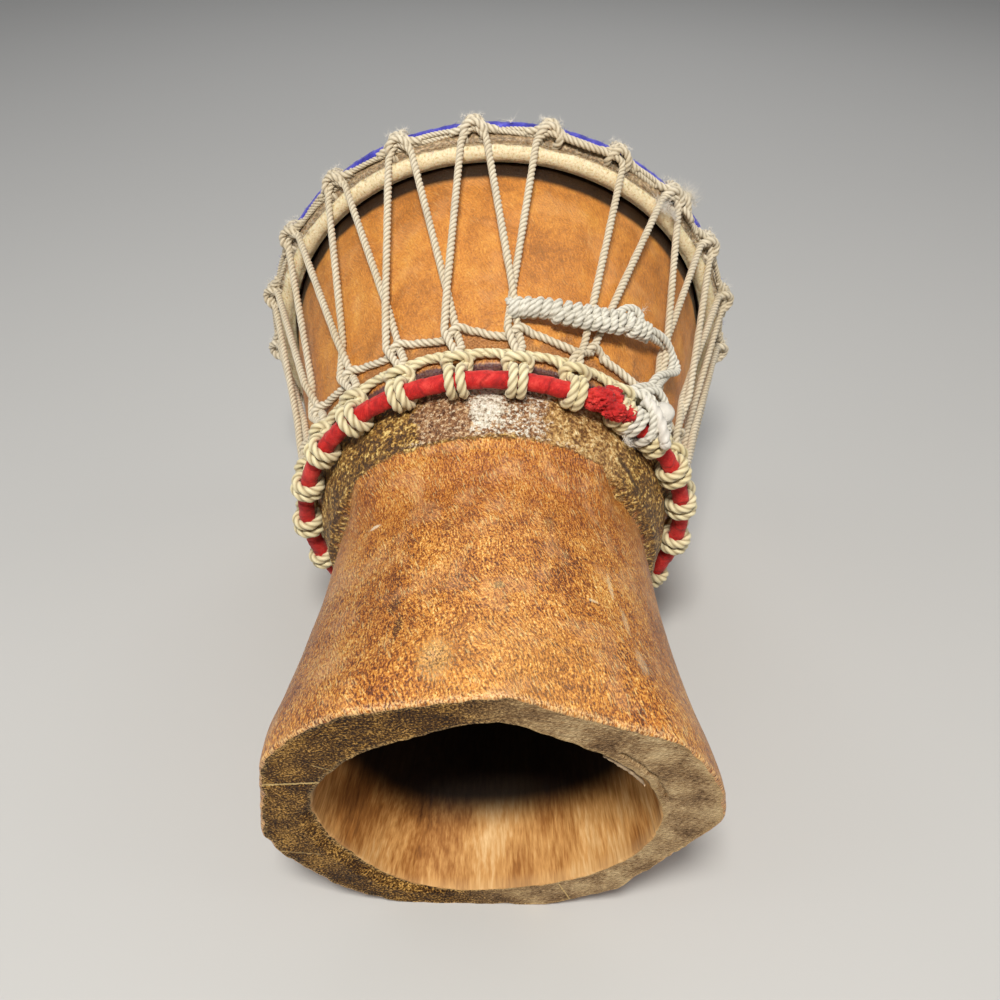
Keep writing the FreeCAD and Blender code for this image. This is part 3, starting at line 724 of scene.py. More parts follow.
WOOD = [wood_outside(), wood_inside(), wood_end()]
HIDE = hide()
RED = cloth("red_cloth", paint(120, 18, 18), paint(196, 30, 28), paint(232, 78, 66), 0.12)
BLUE = cloth("blue_cloth", paint(34, 32, 120), paint(66, 64, 178), paint(120, 118, 222), 0.3)
ROPE = cord("lacing_rope", paint(120, 98, 64), paint(202, 184, 148), paint(236, 226, 202), 0.25)
WHITE = cord("spare_rope", paint(128, 120, 102), paint(206, 200, 182), paint(236, 232, 218), 0.08)
CRADLE = cord("cradle_rope", paint(118, 88, 40), paint(212, 194, 140), paint(242, 232, 192), 0.35)
STEEL = plain("steel_rod", paint(150, 148, 146), 0.42, 60.0, 0.4, 1.0)
FLUFF = plain("rope_fluff", paint(240, 234, 222), 0.75, 300.0, 0.15)
HAIR = plain("goat_hair", paint(224, 212, 190), 0.6, 200.0, 0.3)
MELT = plain("melted_rope_end", paint(228, 222, 210), 0.5, 260.0, 0.32)
SPLINTER = plain("fresh_splinter", paint(222, 190, 150), 0.6, 400.0, 0.45)

for name in ("flesh_hoop", "crown_hoop", "base_ring"):
    node = bpy.data.objects[name]
    node.data.materials.clear()
    node.data.materials.append(STEEL)

# ---------------------------------------------------------------- carved shell

COLUMNS = 640
TURN = np.arange(COLUMNS) * 360 / COLUMNS
FOOT_ROUND = 92.0
# flats hewn on the round foot: the way each faces in degrees, and its distance from the axis
FOOT_FLATS = {"below": (-90, 86.0), "right": (-27, 81.0), "left": (171, 86.0), "above": (103, 87.0),
              "shoulder": (66, 85.5), "low right": (-58, 87.0)}
MOUTH_ROUND = 66.5
# where the mouth is wider than round: the way, how much, and over how many degrees
MOUTH_HOLLOWS = {"top": (88, 6.5, 15), "low left": (245, 9.5, 22)}
FOOT_SWELL = (235, 3.0, 13)
# below the axis, the wood reaches no further than this where the drum lies on it
RESTING_SIDE = 86.25


def swelling(turn, middle, amount, width):
    """A rounded swelling of an outline round one angle."""
    apart = (turn - middle + 180) % 360 - 180
    return amount * np.exp(-((apart / width) ** 2))


def foot_outline(turn):
    """A round foot with flats hewn on it and one low corner left proud."""
    reach = np.full(np.shape(turn), FOOT_ROUND)
    for facing, distance in FOOT_FLATS.values():
        apart = np.radians((turn - facing + 180) % 360 - 180)
        reach = np.minimum(reach, distance / np.maximum(np.cos(apart), 0.5))
    return reach + swelling(turn, *FOOT_SWELL)


def mouth_outline(turn):
    """A nearly round mouth that was worked wider in two places."""
    return MOUTH_ROUND + sum(swelling(turn, *hollow) for hollow in MOUTH_HOLLOWS.values())


def eased(table, heights, spread):
    """A profile through (radius, height) pairs with its corners rounded."""
    radii, levels = np.array(table, float).T
    total, weights = 0, 0
    for shift in np.linspace(-2, 2, 17):
        weight = math.exp(-0.5 * shift * shift)
        total = total + weight * np.interp(heights + shift * spread, levels, radii)
        weights += weight
    return total / weights


STEM = ((102.7, -60), (92, 0), (89.5, 14), (84, 34), (78.6, 60), (74.6, 86), (70.6, 127),
        (67, 164))
BOWL = ((73, 121), (77, 129), (80.6, 141), (82.3, 147.5), (82.3, 155), (84.6, 160), (88.6, 168),
        (94.6, 195), (102.8, 230), (109.3, 260), (113.8, 286), (114.4, 308), (114.6, 340))
HOLLOW = ((71, -30), (69, 4), (62, 40), (52, 104), (52, 138), (70, 166), (86, 210), (98, 262),
          (103, 309), (104, 330))

turn, height = np.meshgrid(TURN, np.concatenate([
    [0, 0.12, 0.35, 0.7, 1.2, 1.8, 2.5, 3.3, 4.2], np.arange(5.2, 121, 1.05),
    np.arange(121, 134, 0.55), np.arange(134, 172, 0.95), np.arange(172, 284, 1.35),
    [286, 292, 298, 304, 308],
]), indexing="xy")
stem = eased(STEM, height, 5)
hewn = foot_outline(turn)
excess = np.maximum(hewn - FOOT_ROUND, 0) * np.exp(-height / 25)
facing = np.minimum(hewn, FOOT_ROUND) + height * 0.05
soft = np.maximum(3 - np.abs(stem - facing), 0) / 3
stem = np.minimum(stem, facing) - soft * soft * 0.75 + excess
to_front = ease((turn - 40) / 16) * (1 - ease((turn - 138) / 20))
step_at = 127.4 + 4.4 * to_front + 1.1 * relief(turn, 0, 26, 1, 11)
stem = stem + to_front * (6.4 * ease((height - 104) / 28) + 0.25 * np.clip(height - 126, 0, 40))
collar = np.maximum(eased(BOWL, height, 2.4), stem)
outer = stem + (collar - stem) * ease((height - step_at + 0.9) / 1.8)
on_collar = ease((height - step_at) / 2) * (1 - ease((height - 152) / 6))
on_bowl = ease((height - 160) / 12)
outer += 0.55 * relief(turn, height, 11, 6, 1) + 0.30 * relief(turn, height, 31, 15, 2)
outer += 0.13 * relief(turn, height, 150, 26, 3) + 0.07 * relief(turn, height, 300, 60, 4)
outer += on_collar * (0.5 * relief(turn, height, 44, 40, 8) + 0.34 * relief(turn, height, 96, 66, 5)
                      + 0.2 * relief(turn, height, 210, 150, 6))
outer += on_bowl * 0.25 * relief(turn, height, 40, 9, 7)
knot_gap = np.hypot((turn - STEM_KNOT) * 1.53, height - STEM_KNOT_HEIGHT + 0.5)
outer -= 0.9 * np.exp(-(knot_gap / 2.2) ** 2) - 0.35 * np.exp(-((knot_gap - 4.5) / 1.8) ** 2)
outer -= 0.7 * ease(1 - np.abs(height - 166.0 - 0.5 * relief(turn, 0, 40, 1, 12)) / 1.4)
chip = 1.5 + 0.9 * relief(turn, 0, 90, 1, 13) + 0.6 * relief(turn, 0, 200, 1, 14)
chip = np.maximum(chip, 0.6)
drop = np.clip(1 - height / chip, 0, 1)
outer -= chip * (1 - np.sqrt(1 - drop * drop)) * 0.8
sunk = RESTING_SIDE / np.maximum(-np.sin(np.radians(turn)), 0.01)
low_side = ease((70 - height) / 40)
outer = np.where(low_side > 0, np.minimum(outer, sunk + (1 - low_side) * 40), outer)
rows = [around(outer, turn, height)]
step_line = step_at[0]
row_kind = [np.zeros(len(outer))]
row_edge = [np.ones(len(outer))]
foot_edge = outer[0]

# the bearing edge, turned round from the outer wall to the inner one
for radius, level in ((114.2, 309.6), (113.3, 310.9), (111.6, 311.5), (109.0, 311.2),
                      (106.0, 310.3), (103.5, 309.4)):
    rows.append(around(radius, TURN, np.full(COLUMNS, level))[None])
    row_kind.append([0])
    row_edge.append([1])

inner_levels = np.concatenate([
    np.arange(304, 168, -6), np.arange(166, 102, -3), np.arange(100, 7, -1.4),
    [6, 4.6, 3.4, 2.4, 1.5, 0.9, 0.4, 0.1],
])
turn, height = np.meshgrid(TURN, inner_levels)
mouth = mouth_outline(turn)
inner = eased(HOLLOW, height, 3) + (mouth - HOLLOW[1][0]) * np.exp(-((height / 45) ** 2))
near_mouth = np.exp(-((height / 90) ** 2))
inner += near_mouth * (0.35 * relief(turn, height, 38, 8, 21) + 0.2 * relief(turn, height, 120, 24, 22))
inner += near_mouth * 0.12 * relief(turn, height, 280, 40, 23)
ragged = 1.0 + 0.7 * relief(turn, 0, 120, 1, 24)
drop = np.clip(1 - height / np.maximum(ragged, 0.4), 0, 1)
inner += np.maximum(ragged, 0.4) * (1 - np.sqrt(1 - drop * drop))
bevel_at = ease((TURN - 166) / 18) * (1 - ease((TURN - 236) / 34))
bevel = 3.2 * bevel_at
rows.append(around(inner, turn, height + bevel * np.exp(-height / 7)))
row_kind.append(np.ones(len(inner)))
row_edge.append(np.zeros(len(inner)))
mouth_edge = inner[-1]

share = np.linspace(0, 1, 34)[1:-1]
turn, across = np.meshgrid(TURN, share)
radius = mouth_edge + (foot_edge - mouth_edge) * across
away = radius - mouth_edge
level = bevel * (1 - ease(away / (6.4 * np.maximum(bevel_at, 0.15))))
x, s = radius * np.cos(np.radians(turn)), radius * np.sin(np.radians(turn))
swirl = np.degrees(np.arctan2(s + 240, x + 300)) * 14
level += 0.16 + 0.16 * relief(swirl, radius * 3, 400, 60, 31) + 0.12 * relief(turn, radius * 3.5, 180, 90, 32)
level += 0.25 * relief(turn, radius * 2, 20, 10, 33)
crease = np.abs((s - 25.5) - (x + 83) * 0.135) + 40 * (x > -56)
level += 0.5 * ease(1 - crease / 0.9)
split = np.abs(away - 3.2 - 0.05 * (turn - 22)) + 40 * ((turn < 19) | (turn > 50))
level += 1.6 * ease(1 - split / 1.1)
rows.append(around(radius, turn, np.maximum(level, 0)))
row_kind.append(np.full(len(share), 2))
row_edge.append(share)

shell_points = np.concatenate(rows)
row_count = len(shell_points)
drum_points = shell_points.reshape(-1, 3)
shell_faces = grid(row_count, COLUMNS, closed=True)
kinds = np.concatenate(row_kind)
kinds_next = np.roll(kinds, -1)
face_kind = np.where(kinds_next == 2, 2, np.maximum(kinds, kinds_next))
face_kind[-1] = 2
piece(
    "carved_shell", place(drum_points), [shell_faces], WOOD,
    {
        "drum": drum_points,
        "turn": np.tile(np.where(TURN > 270, TURN - 360, TURN), row_count),
        "height": drum_points[:, 2],
        "edge": np.repeat(np.concatenate(row_edge), COLUMNS),
        "above": drum_points[:, 2] - np.tile(step_line, row_count),
    },
    np.repeat(face_kind, COLUMNS), ["shell"],
)


def sliver(name, path, width, thickness, material):
    """A ragged flat splinter along a path of drum points."""
    random = np.random.default_rng(len(name))
    path = resample(np.array(path, float), 0.8)
    count = len(path)
    ahead = headings(path)
    up = np.cross(ahead, [0, 0, 1.0])
    taper = np.sin(np.pi * (np.arange(count) + 0.6) / (count + 0.2)) ** 0.6
    half = 0.5 * width * taper * (1 + 0.3 * random.normal(size=count))
    deep = 0.5 * thickness * (1 + 0.2 * random.normal(size=count))
    ring = [path + up * half[:, None] + [0, 0, 0.2], path - [0, 0, 1] * deep[:, None],
            path - up * half[:, None] + [0, 0, 0.3], path + [0, 0, 1] * deep[:, None]]
    points = np.stack(ring, 1).reshape(-1, 3)
    caps = [[0, 1, 2, 3], [4 * count - 1, 4 * count - 2, 4 * count - 3, 4 * count - 4]]
    faces = np.concatenate([grid(count, 4), caps])
    return piece(name, place(points), [faces], [material], None, None, ())


splinter_path = [around(64.9 - 0.02 * abs(a - 38), a, 1.2 + 0.02 * abs(a - 36)) for a in range(27, 54, 3)]
sliver("foot_splinter", splinter_path, 2.4, 1.2, SPLINTER)

# ---------------------------------------------------------------- goatskin and rings


def lathe(name, profile, columns, material, bumps, nodes):
    """A closed ring-shaped skin turned about the axis from (radius, height) pairs."""
    profile = np.array(profile, float)
    angle = np.arange(columns) * 360 / columns
    turn, row = np.meshgrid(angle, np.arange(len(profile)))
    radius, height = profile[row, 0], profile[row, 1]
    slope = np.roll(profile, -1, 0) - np.roll(profile, 1, 0)
    slope /= np.linalg.norm(slope, axis=1)[:, None]
    shift = bumps(turn, row, radius, height)
    radius = np.maximum(radius - slope[row, 1] * shift * (radius > 1), 0.02)
    height = height + slope[row, 0] * shift * (radius > 1)
    points = around(radius, turn, height).reshape(-1, 3)
    faces = grid(len(profile), columns, closed=True)
    facts = {"drum": points, "height": points[:, 2], "turn": turn.ravel()}
    return piece(name, place(points), [faces], [material], facts, None, nodes)


skin_profile = [(0.02, 313.35)]
skin_profile += [(r, 313.35 - 0.0008 * r) for r in np.linspace(4, 104, 24)]
skin_profile += [(107, 313.2), (109.6, 313.0), (111.8, 312.5), (113.6, 311.6), (114.9, 310.3),
                 (115.6, 308.6), (115.9, 306), (116.1, 303), (116.2, 300), (116.3, 297),
                 (116.5, 294.6), (117.2, 292.6), (118.6, 291.8), (120.4, 291.9), (122.1, 291.6),
                 (123.5, 290.6), (124.4, 289.2), (124.7, 287.6), (124.4, 286.0), (123.6, 284.6),
                 (122.2, 283.6), (120.4, 283.2), (118.6, 283.5), (117.3, 284.5), (116.6, 285.6),
                 (115.9, 285.7), (115.4, 287.0), (115.0, 292), (114.9, 300), (114.8, 308),
                 (112.4, 311.6), (108, 312.1)]
skin_profile += [(r, 312.2) for r in np.linspace(100, 4, 8)] + [(0.02, 312.2)]


def skin_bumps(turn, row, radius, height):
    fold = ease((293 - height) / 2) * (radius > 116.4)
    puckers = 0.28 * relief(turn, height * 2, 150, 40, 41) + 0.2 * relief(turn, height, 320, 8, 42)
    return -fold * puckers - 0.12 * relief(turn, radius * 2, 24, 12, 43) * (radius < 112)


lathe("goatskin_head", skin_profile, 480, HIDE, skin_bumps, ["goatskin"])
tuck_profile = [(122.2, 291.8), (123.8, 293.0), (125.9, 295.0), (126.8, 294.2), (124.8, 291.6),
                (122.8, 290.6)]


def tuck_bumps(turn, row, radius, height):
    return 0.4 * relief(turn, height * 2, 150, 40, 47)


lathe("goatskin_tuck", tuck_profile, 480, HIDE, tuck_bumps, ())


def sleeve(name, centre, reach, pitch, seed, material, nodes, lumps=0.12):
    """Cloth strip wound round a ring: a tube with a low step at each lap."""
    columns, sides = 960, 28
    angle = np.arange(columns) * 360 / columns
    side = np.arange(sides) * 2 * np.pi / sides
    turn, b = np.meshgrid(angle, side, indexing="ij")
    laps = round(2 * math.pi * centre[0] / pitch)
    wander = 0.25 * relief(turn, b * 50, 60, 8, seed)
    lap = np.mod(turn / 360 * laps + b / (2 * np.pi) + wander, 1)
    step = 0.34 * (1 - lap) * ease(lap / 0.06)
    wrinkle = lumps * relief(turn, b * 52, 260, 7, seed + 1)
    wrinkle = wrinkle + 0.08 * relief(turn, b * 52, 420, 16, seed + 2)
    tube = reach - 0.18 + step + wrinkle
    radius, height = centre[0] + tube * np.cos(b), centre[1] + tube * np.sin(b)
    points = around(radius, turn, height).reshape(-1, 3)
    seam_and_crease_shade = (ease(1 - lap / 0.10) + ease((lap - 0.95) / 0.05)).ravel()
    wrap = np.stack([lap * pitch + 0 * b, b * reach + turn * 1.5, turn * 0.02], -1).reshape(-1, 3)
    facts = {"drum": points, "seam_and_crease_shade": np.clip(seam_and_crease_shade, 0, 1), "wrap": wrap}
    piece(name, place(points), [grid(columns, sides, closed=True)], [material], facts, None, nodes)


sleeve("crown_ring_cloth", CROWN_RING, 4.1, 11.0, 51, BLUE, ["crown_cloth"], 0.25)
sleeve("base_ring_red_cloth", BASE_RING, 3.85, 9.0, 61, RED, ["base_ring_cloth"])


def lump(centre, size, rough, seed, stretch=(1, 1, 1), rings=44, columns=60):
    """A lumpy closed form round a drum point: points, faces and facts."""
    rounds = np.arange(columns) * 2 * np.pi / columns
    polar, turn = np.meshgrid(np.linspace(0.02, math.pi - 0.02, rings), rounds, indexing="ij")
    a = relief(np.degrees(turn), polar * 100, 7, 4, seed)
    b = np.abs(relief(np.degrees(turn), polar * 100, 15, 9, seed + 1))
    c = np.abs(relief(np.degrees(turn), polar * 100, 31, 17, seed + 2))
    reach = size * (1 + rough[0] * a - rough[1] * b - rough[2] * c)
    offset = np.stack([np.sin(polar) * np.cos(turn) * stretch[0], np.sin(polar) * np.sin(turn) * stretch[1],
                       np.cos(polar) * stretch[2]], -1) * reach[..., None]
    points = (np.asarray(centre) + offset).reshape(-1, 3)
    # the deepest dents are marked for darkening: painted shade in the creases
    facts = {"drum": points, "seam_and_crease_shade": np.clip(1.5 * (b + c).ravel() - 0.9, 0, 1) * 0.6, "wrap": points * 1.3,
             "groove": np.zeros(len(points)), "fibre": points * 2.0, "tone": np.zeros(len(points))}
    return points, [grid(rings, columns)], facts


bunch = Heap()
for centre, size, stretch, seed in (
    (around(93.0, 61.6, 151.8), 6.6, (1.2, 0.9, 0.95), 71),
    (around(94.0, 57.8, 154.8), 6.2, (1.2, 0.85, 0.95), 74),
    (around(93.6, 57.0, 147.8), 5.6, (1.2, 0.85, 0.9), 77),
    (around(93.0, 53.4, 150.6), 5.6, (1.15, 0.9, 0.95), 78),
):
    points, faces, facts = lump(centre, size, (0.12, 0.36, 0.28), seed, stretch)
    bunch.add(place(points), faces, facts)
bunch.make("cloth_bunch_red", [RED], ["cloth_bunch"])

# ---------------------------------------------------------------- knots and lines


def base_hitch(index):
    """The cradle rope's hitch on the base ring, with both ends leading into the line above."""
    random = np.random.default_rng(300 + index)
    reach = 5.85 + 0.15 * random.normal()
    lean = random.normal() * 0.9
    wide = 2.5 + 0.2 * random.normal()
    bar = 163.0 + 0.5 * random.normal()
    steps = [(-11.0, 91.2, 169.9), (-6.8, 91.6, 168.4), (-4.4, 92.0, 165.0)]
    steps += turn_round(BASE_RING, reach, 72, -248, -wide, -wide + 0.3 + lean * 0.5)
    steps += [(-4.6, 90.2, bar - 1.2), (-5.6, 92.6, bar), (-4.2, 95.4, bar + 0.3),
              (0.0, 96.7, bar + lean * 0.3), (4.2, 95.4, bar + 0.3), (5.6, 92.6, bar),
              (4.6, 90.2, bar - 1.2)]
    steps += turn_round(BASE_RING, reach, 112, 432, wide + 0.3 + lean * 0.5, wide)
    steps += [(4.4, 92.0, 165.0), (6.8, 91.6, 168.4), (11.0, 91.2, 169.9)]
    heap = Heap()
    rope(heap, local_route(base_angle(index), steps), 2.25, CRADLE_LAY, 0.75, seed=300 + index, wear=0.012)
    heap.make(f"base_hitch_{index + 1:02d}", [CRADLE], [f"base_knot_{index + 1:02d}"])


def crown_hitch(index):
    """The crown line's hitch on the crown ring; it makes a rounder lump."""
    random = np.random.default_rng(400 + index)
    reach = 6.1 + 0.15 * random.normal()
    wide = 2.4 + 0.2 * random.normal()
    lean = random.normal() * 0.8
    steps = [(-12.0, 128.2, 294.2), (-7.0, 129.2, 294.4), (-4.4, 130.8, 295.0)]
    steps += turn_round(CROWN_RING, reach, -22, 222, -wide, -wide + 0.8 + lean)
    steps += [(-3.6, 123.0, 292.4), (-5.4, 127.4, 290.8), (-4.6, 131.2, 291.6), (-1.8, 133.4, 293.4),
              (1.8, 133.4, 293.6), (4.6, 131.2, 292.0), (5.4, 127.4, 290.8), (3.6, 123.0, 292.4)]
    steps += turn_round(CROWN_RING, reach, 222, -22, wide + lean, wide)
    steps += [(4.4, 130.8, 295.0), (7.0, 129.2, 294.4), (12.0, 128.2, 294.2)]
    # the two lowest knots are pressed flat, clear of the floor
    outermost = 131.3 if math.sin(math.radians(crown_angle(index))) < -0.96 else 140.0
    steps = [(u, min(radius, outermost), height) for u, radius, height in steps]
    heap = Heap()
    rope(heap, local_route(crown_angle(index), steps), 2.05, 9.5, 0.8, seed=400 + index, wear=0.02)
    over = [(-5.0, 128.6, 296.4), (-2.6, 131.8, 299.0), (0.6, 132.6, 299.8), (3.4, 131.4, 297.6),
            (5.2, 128.8, 294.8)]
    over = [(u, min(radius, outermost), height) for u, radius, height in over]
    rope(heap, local_route(crown_angle(index), over), 1.95, 9.5, 0.7, seed=430 + index, wear=0.02)
    heap.make(f"crown_hitch_{index + 1:02d}", [ROPE], [f"crown_knot_{index + 1:02d}"])


for index in range(KNOTS):
    base_hitch(index)
    crown_hitch(index)


def wavy(radius, height, seed, spread=0.35, start=0.0):
    """A line all round the drum that wavers a little."""
    angle = start + np.linspace(0, 360, 721)
    out = radius + spread * relief(angle, 0, 34, 1, seed)
    up = height + 1.6 * spread * relief(angle, 0, 40, 1, seed + 1)
    return around(out, angle, up)


heap = Heap()
angle = np.linspace(0, 360, 721) + 41
for phase, seed in ((0.0, 501), (math.pi, 503)):
    twist = phase + np.radians(angle) * 7 + 0.6 * relief(angle, 0, 22, 1, seed)
    out = 127.6 + 1.25 * np.cos(twist)
    up = 295.0 + 1.25 * np.sin(twist)
    rope(heap, around(out, angle, up), 1.35, 6.2, 0.8, seed=seed)
heap.make("crown_rope_line", [ROPE], ["crown_line"])
heap = Heap()
rope(heap, wavy(91.2, 169.7, 511, 0.3, 44.0), 2.2, CRADLE_LAY, 0.8, seed=511)
heap.make("cradle_rope_line", [CRADLE], ["base_line"])

# ---------------------------------------------------------------- lacing

LEFT_LEG = {index: -2.7 for index in range(KNOTS)}
RIGHT_LEG = {index: 2.7 for index in range(KNOTS)}
LEFT_LEG[2], RIGHT_LEG[2] = 3.4, 8.4
WEAVE_AT = 180.0
WEAVE_WALL = 91.3


def leg_ends(index):
    """The foot of a pair: left leg lifted over the weave, right leg under it."""
    random = np.random.default_rng(600 + index)
    level = WEAVE_AT + 0.6 * random.normal()
    return {
        "left": (LEFT_LEG[index], WEAVE_WALL + 5.2, level),
        "right": (RIGHT_LEG[index], WEAVE_WALL + 2.1, level),
        "cross": 204.0 + 1.6 * random.normal(),
    }


# the lacing's pass over the crown between two legs
CROWN_OVER = [(-6.2, 126.9, 288.8), (-3.4, 129.2, 292.0), (0.0, 130.3, 294.6), (3.4, 129.2, 292.0),
              (6.2, 126.9, 288.8)]
lacing_path = []


def walk(angle, steps):
    lacing_path.extend(local_route(angle, steps))


def outgoing(index):
    end = leg_ends(index)
    radius = 99.3 if index % 3 else 102.9
    walk(base_angle(index), [(0.0, 93.8, 167.4), (-1.9, 94.2, 171.4)])
    walk(weave_angle(index), [end["left"]])
    walk(crossing_angle(index), [(0.3, radius, end["cross"])])


def incoming(index):
    end = leg_ends(index)
    radius = 103.0 if index % 3 else 99.2
    walk(crossing_angle(index), [(-0.3, radius, end["cross"])])
    walk(weave_angle(index), [end["right"]])
    walk(base_angle(index), [(1.9, 93.4, 171.4)])


for step in range(4, KNOTS + 2):
    index = step % KNOTS
    outgoing(index)
    if index != 1:
        walk(crown_angle(index), CROWN_OVER)
        incoming((index + 1) % KNOTS)
walk(crown_angle(1), [(-6.2, 126.9, 288.8), (-3.4, 129.2, 292.0), (0.0, 130.4, 293.0), (4.0, 130.2, 291.4)])
for share in (0.25, 0.42, 0.58, 0.75):
    at = crown_angle(1) + (crown_angle(2) - crown_angle(1)) * share
    walk(at, [(0.0, 129.4, 291.6 + 0.8 * math.sin(share * 9))])
walk(crown_angle(2), [(-2.6, 129.8, 291.4), (1.4, 129.6, 291.0), (3.0, 127.0, 288.4)])
left, right = leg_ends(2)["left"], leg_ends(2)["right"]
walk(base_angle(2), [left, (1.6, 95.2, 173.4), (2.0, 93.6, 169.0), (0.0, 92.8, 166.4), (-1.9, 93.6, 169.6),
                     (0.6, 95.8, 174.2), right])
walk(crown_angle(3), CROWN_OVER)
incoming(4)
heap = Heap()
rope(heap, np.array(lacing_path), ROPE_RADIUS, ROPE_LAY, 0.9, seed=601)
heap.make("lacing_cord", [ROPE], ["lacing"])
print("lacing length mm", round(float(np.linalg.norm(np.diff(lacing_path, axis=0), axis=1).sum())))

weave_path = []
for step in range(5, KNOTS + 3):
    index = step % KNOTS
    at = weave_angle(index)
    random = np.random.default_rng(650 + index)
    low = WEAVE_AT - 1.7 + 0.5 * random.normal()
    high = WEAVE_AT + 1.5 + 0.5 * random.normal()
    near, far = LEFT_LEG[index], RIGHT_LEG[index]
    weave_path.extend(local_route(at, [
        (near - 8.5, WEAVE_WALL + 1.7, low + 0.8), (near - 3.6, WEAVE_WALL + 1.6, low),
        (near, WEAVE_WALL + 1.4, low), (near + 2.2, WEAVE_WALL + 3.2, low + 1.0),
        (far - 0.6, WEAVE_WALL + 5.6, high - 0.4), (far + 2.4, WEAVE_WALL + 4.4, high + 0.3),
        (far + 5.8, WEAVE_WALL + 1.9, high), (far + 9.5, WEAVE_WALL + 1.9, high - 0.4),
    ]))
weave_path.extend([around(93.6, 60.0, 179.4), around(93.2, 54.0, 178.4), around(94.0, 48.0, 175.0),
                   around(94.6, 45.0, 171.0)])
weave_path = [around(94.0, 37.0, 172.5), around(94.0, 33.5, 178.5)] + weave_path
heap = Heap()
rope(heap, np.array(weave_path), 1.9, 9.0, 0.9, seed=651)
heap.make("weave_cord", [ROPE], ["weave_row"])

# ---------------------------------------------------------------- spare rope


def coil(axis, reach, pitch, phase, squash=1.0, seed=0):
    """A helix round a smoothed axis of drum points."""
    line = resample(soften(np.array(axis, float), 5.0), 0.4)
    ahead = headings(line)
    out = line * [1, 1, 0]
    out /= np.linalg.norm(out, axis=1)[:, None]
    out -= ahead * np.einsum("ij,ij->i", ahead, out)[:, None]
    side = np.cross(ahead, out)
    angle = phase + 2 * np.pi * np.arange(len(line)) * 0.4 / pitch
    angle = angle + 0.5 * np.interp(np.arange(len(line)), np.arange(0, len(line), 12),
                                    np.random.default_rng(seed).normal(size=len(range(0, len(line), 12))))
    return line + reach * squash * np.cos(angle)[:, None] * out + reach * np.sin(angle)[:, None] * side


heap = Heap()
upper = [around(99.4, 87.0, 190.8), around(101.8, 80, 190.6), around(103.0, 70, 191.4),
         around(104.4, 60, 195.0), around(106.4, 54.5, 198.6)]
rope(heap, coil(upper, 3.5, 4.4, 0.6, seed=701), ROPE_RADIUS, ROPE_LAY, 0.5, seed=701, wear=0.01)
under = [point + np.array([0, 0, -0.6]) for point in upper]
rope(heap, coil(under, 2.8, 4.6, 3.7, seed=702), 1.8, ROPE_LAY, 0.5, seed=702, wear=0.01)
lower = [around(101.6, 76.0, 187.4), around(102.2, 69, 187.8), around(103.4, 62, 190.4),
         around(104.4, 58.0, 192.8)]
rope(heap, coil(lower, 2.3, 4.3, 1.0, seed=703), 1.8, ROPE_LAY, 0.5, seed=703, wear=0.01)
loop = [around(105.0, 60.5, 196.4), around(108.4, 57.6, 202.6), around(109.4, 55.0, 205.2),
        around(109.0, 52.8, 202.4), around(107.8, 53.0, 197.4), around(105.8, 54.6, 193.6)]
rope(heap, loop, 1.9, ROPE_LAY, 1.0, seed=704)
collar_axis = [around(105.2, 55.6, 195.4), around(105.6, 52.2, 198.0), around(105.6, 48.6, 200.6)]
rope(heap, coil(collar_axis, 3.4, 3.9, 0.2, seed=705), 1.75, ROPE_LAY, 0.4, seed=705)
heap.make("spare_rope_hank", [WHITE], ["tail_hank"])

heap = Heap()
run = [(105.4, 50.4, 199.6), (105.6, 46.4, 203.0), (105.4, 42.0, 205.4), (105.0, 38.0, 205.4),
       (104.4, 35.6, 201.4), (103.4, 35.4, 196.4), (102.2, 37.4, 191.4), (101.0, 40.0, 186.6),
       (99.8, 42.4, 181.0), (98.4, 43.6, 175.0)]
path = soften(np.array([around(*step) for step in run]), 2.2)
ahead = headings(path)
out = path * [1, 1, 0] / np.linalg.norm(path[:, :2], axis=1)[:, None]
apart = np.cross(ahead, out)
along = np.linspace(0, 1, len(path))
for way in (-1, 1):
    turnover = way * (1.6 * np.cos(along * 7.0))[:, None] * apart
    turnover = turnover + way * (1.6 * np.sin(along * 7.0))[:, None] * out
    rope(heap, path + turnover, ROPE_RADIUS, ROPE_LAY, 0.8, seed=710 + way)
heap.make("spare_rope_run", [WHITE], ["tail_run"])

# the finishing knot on the base ring: doubled arch, melted lump, cut end and extra turns
CLUSTER = 43.5
heap = Heap()
arch = [(-14.5, 91.6, 166.0), (-11.0, 94.6, 168.6), (-7.0, 97.0, 172.0), (-2.4, 98.6, 175.0),
        (2.6, 99.4, 175.4), (7.2, 99.2, 172.6), (10.4, 98.4, 168.0), (12.0, 97.4, 162.4),
        (12.2, 96.0, 156.6), (10.8, 93.6, 151.6)]
rope(heap, local_route(CLUSTER, arch), 1.9, 8.6, 1.2, seed=721)
inner_arch = [(-12.6, 92.6, 163.0), (-9.0, 96.8, 165.8), (-5.0, 99.4, 169.0), (-0.4, 100.6, 171.4),
              (4.2, 100.4, 171.0), (8.0, 99.6, 167.6), (9.8, 98.6, 162.4), (9.8, 97.2, 157.0)]
rope(heap, local_route(CLUSTER, inner_arch), 1.9, 8.6, 1.2, seed=722)
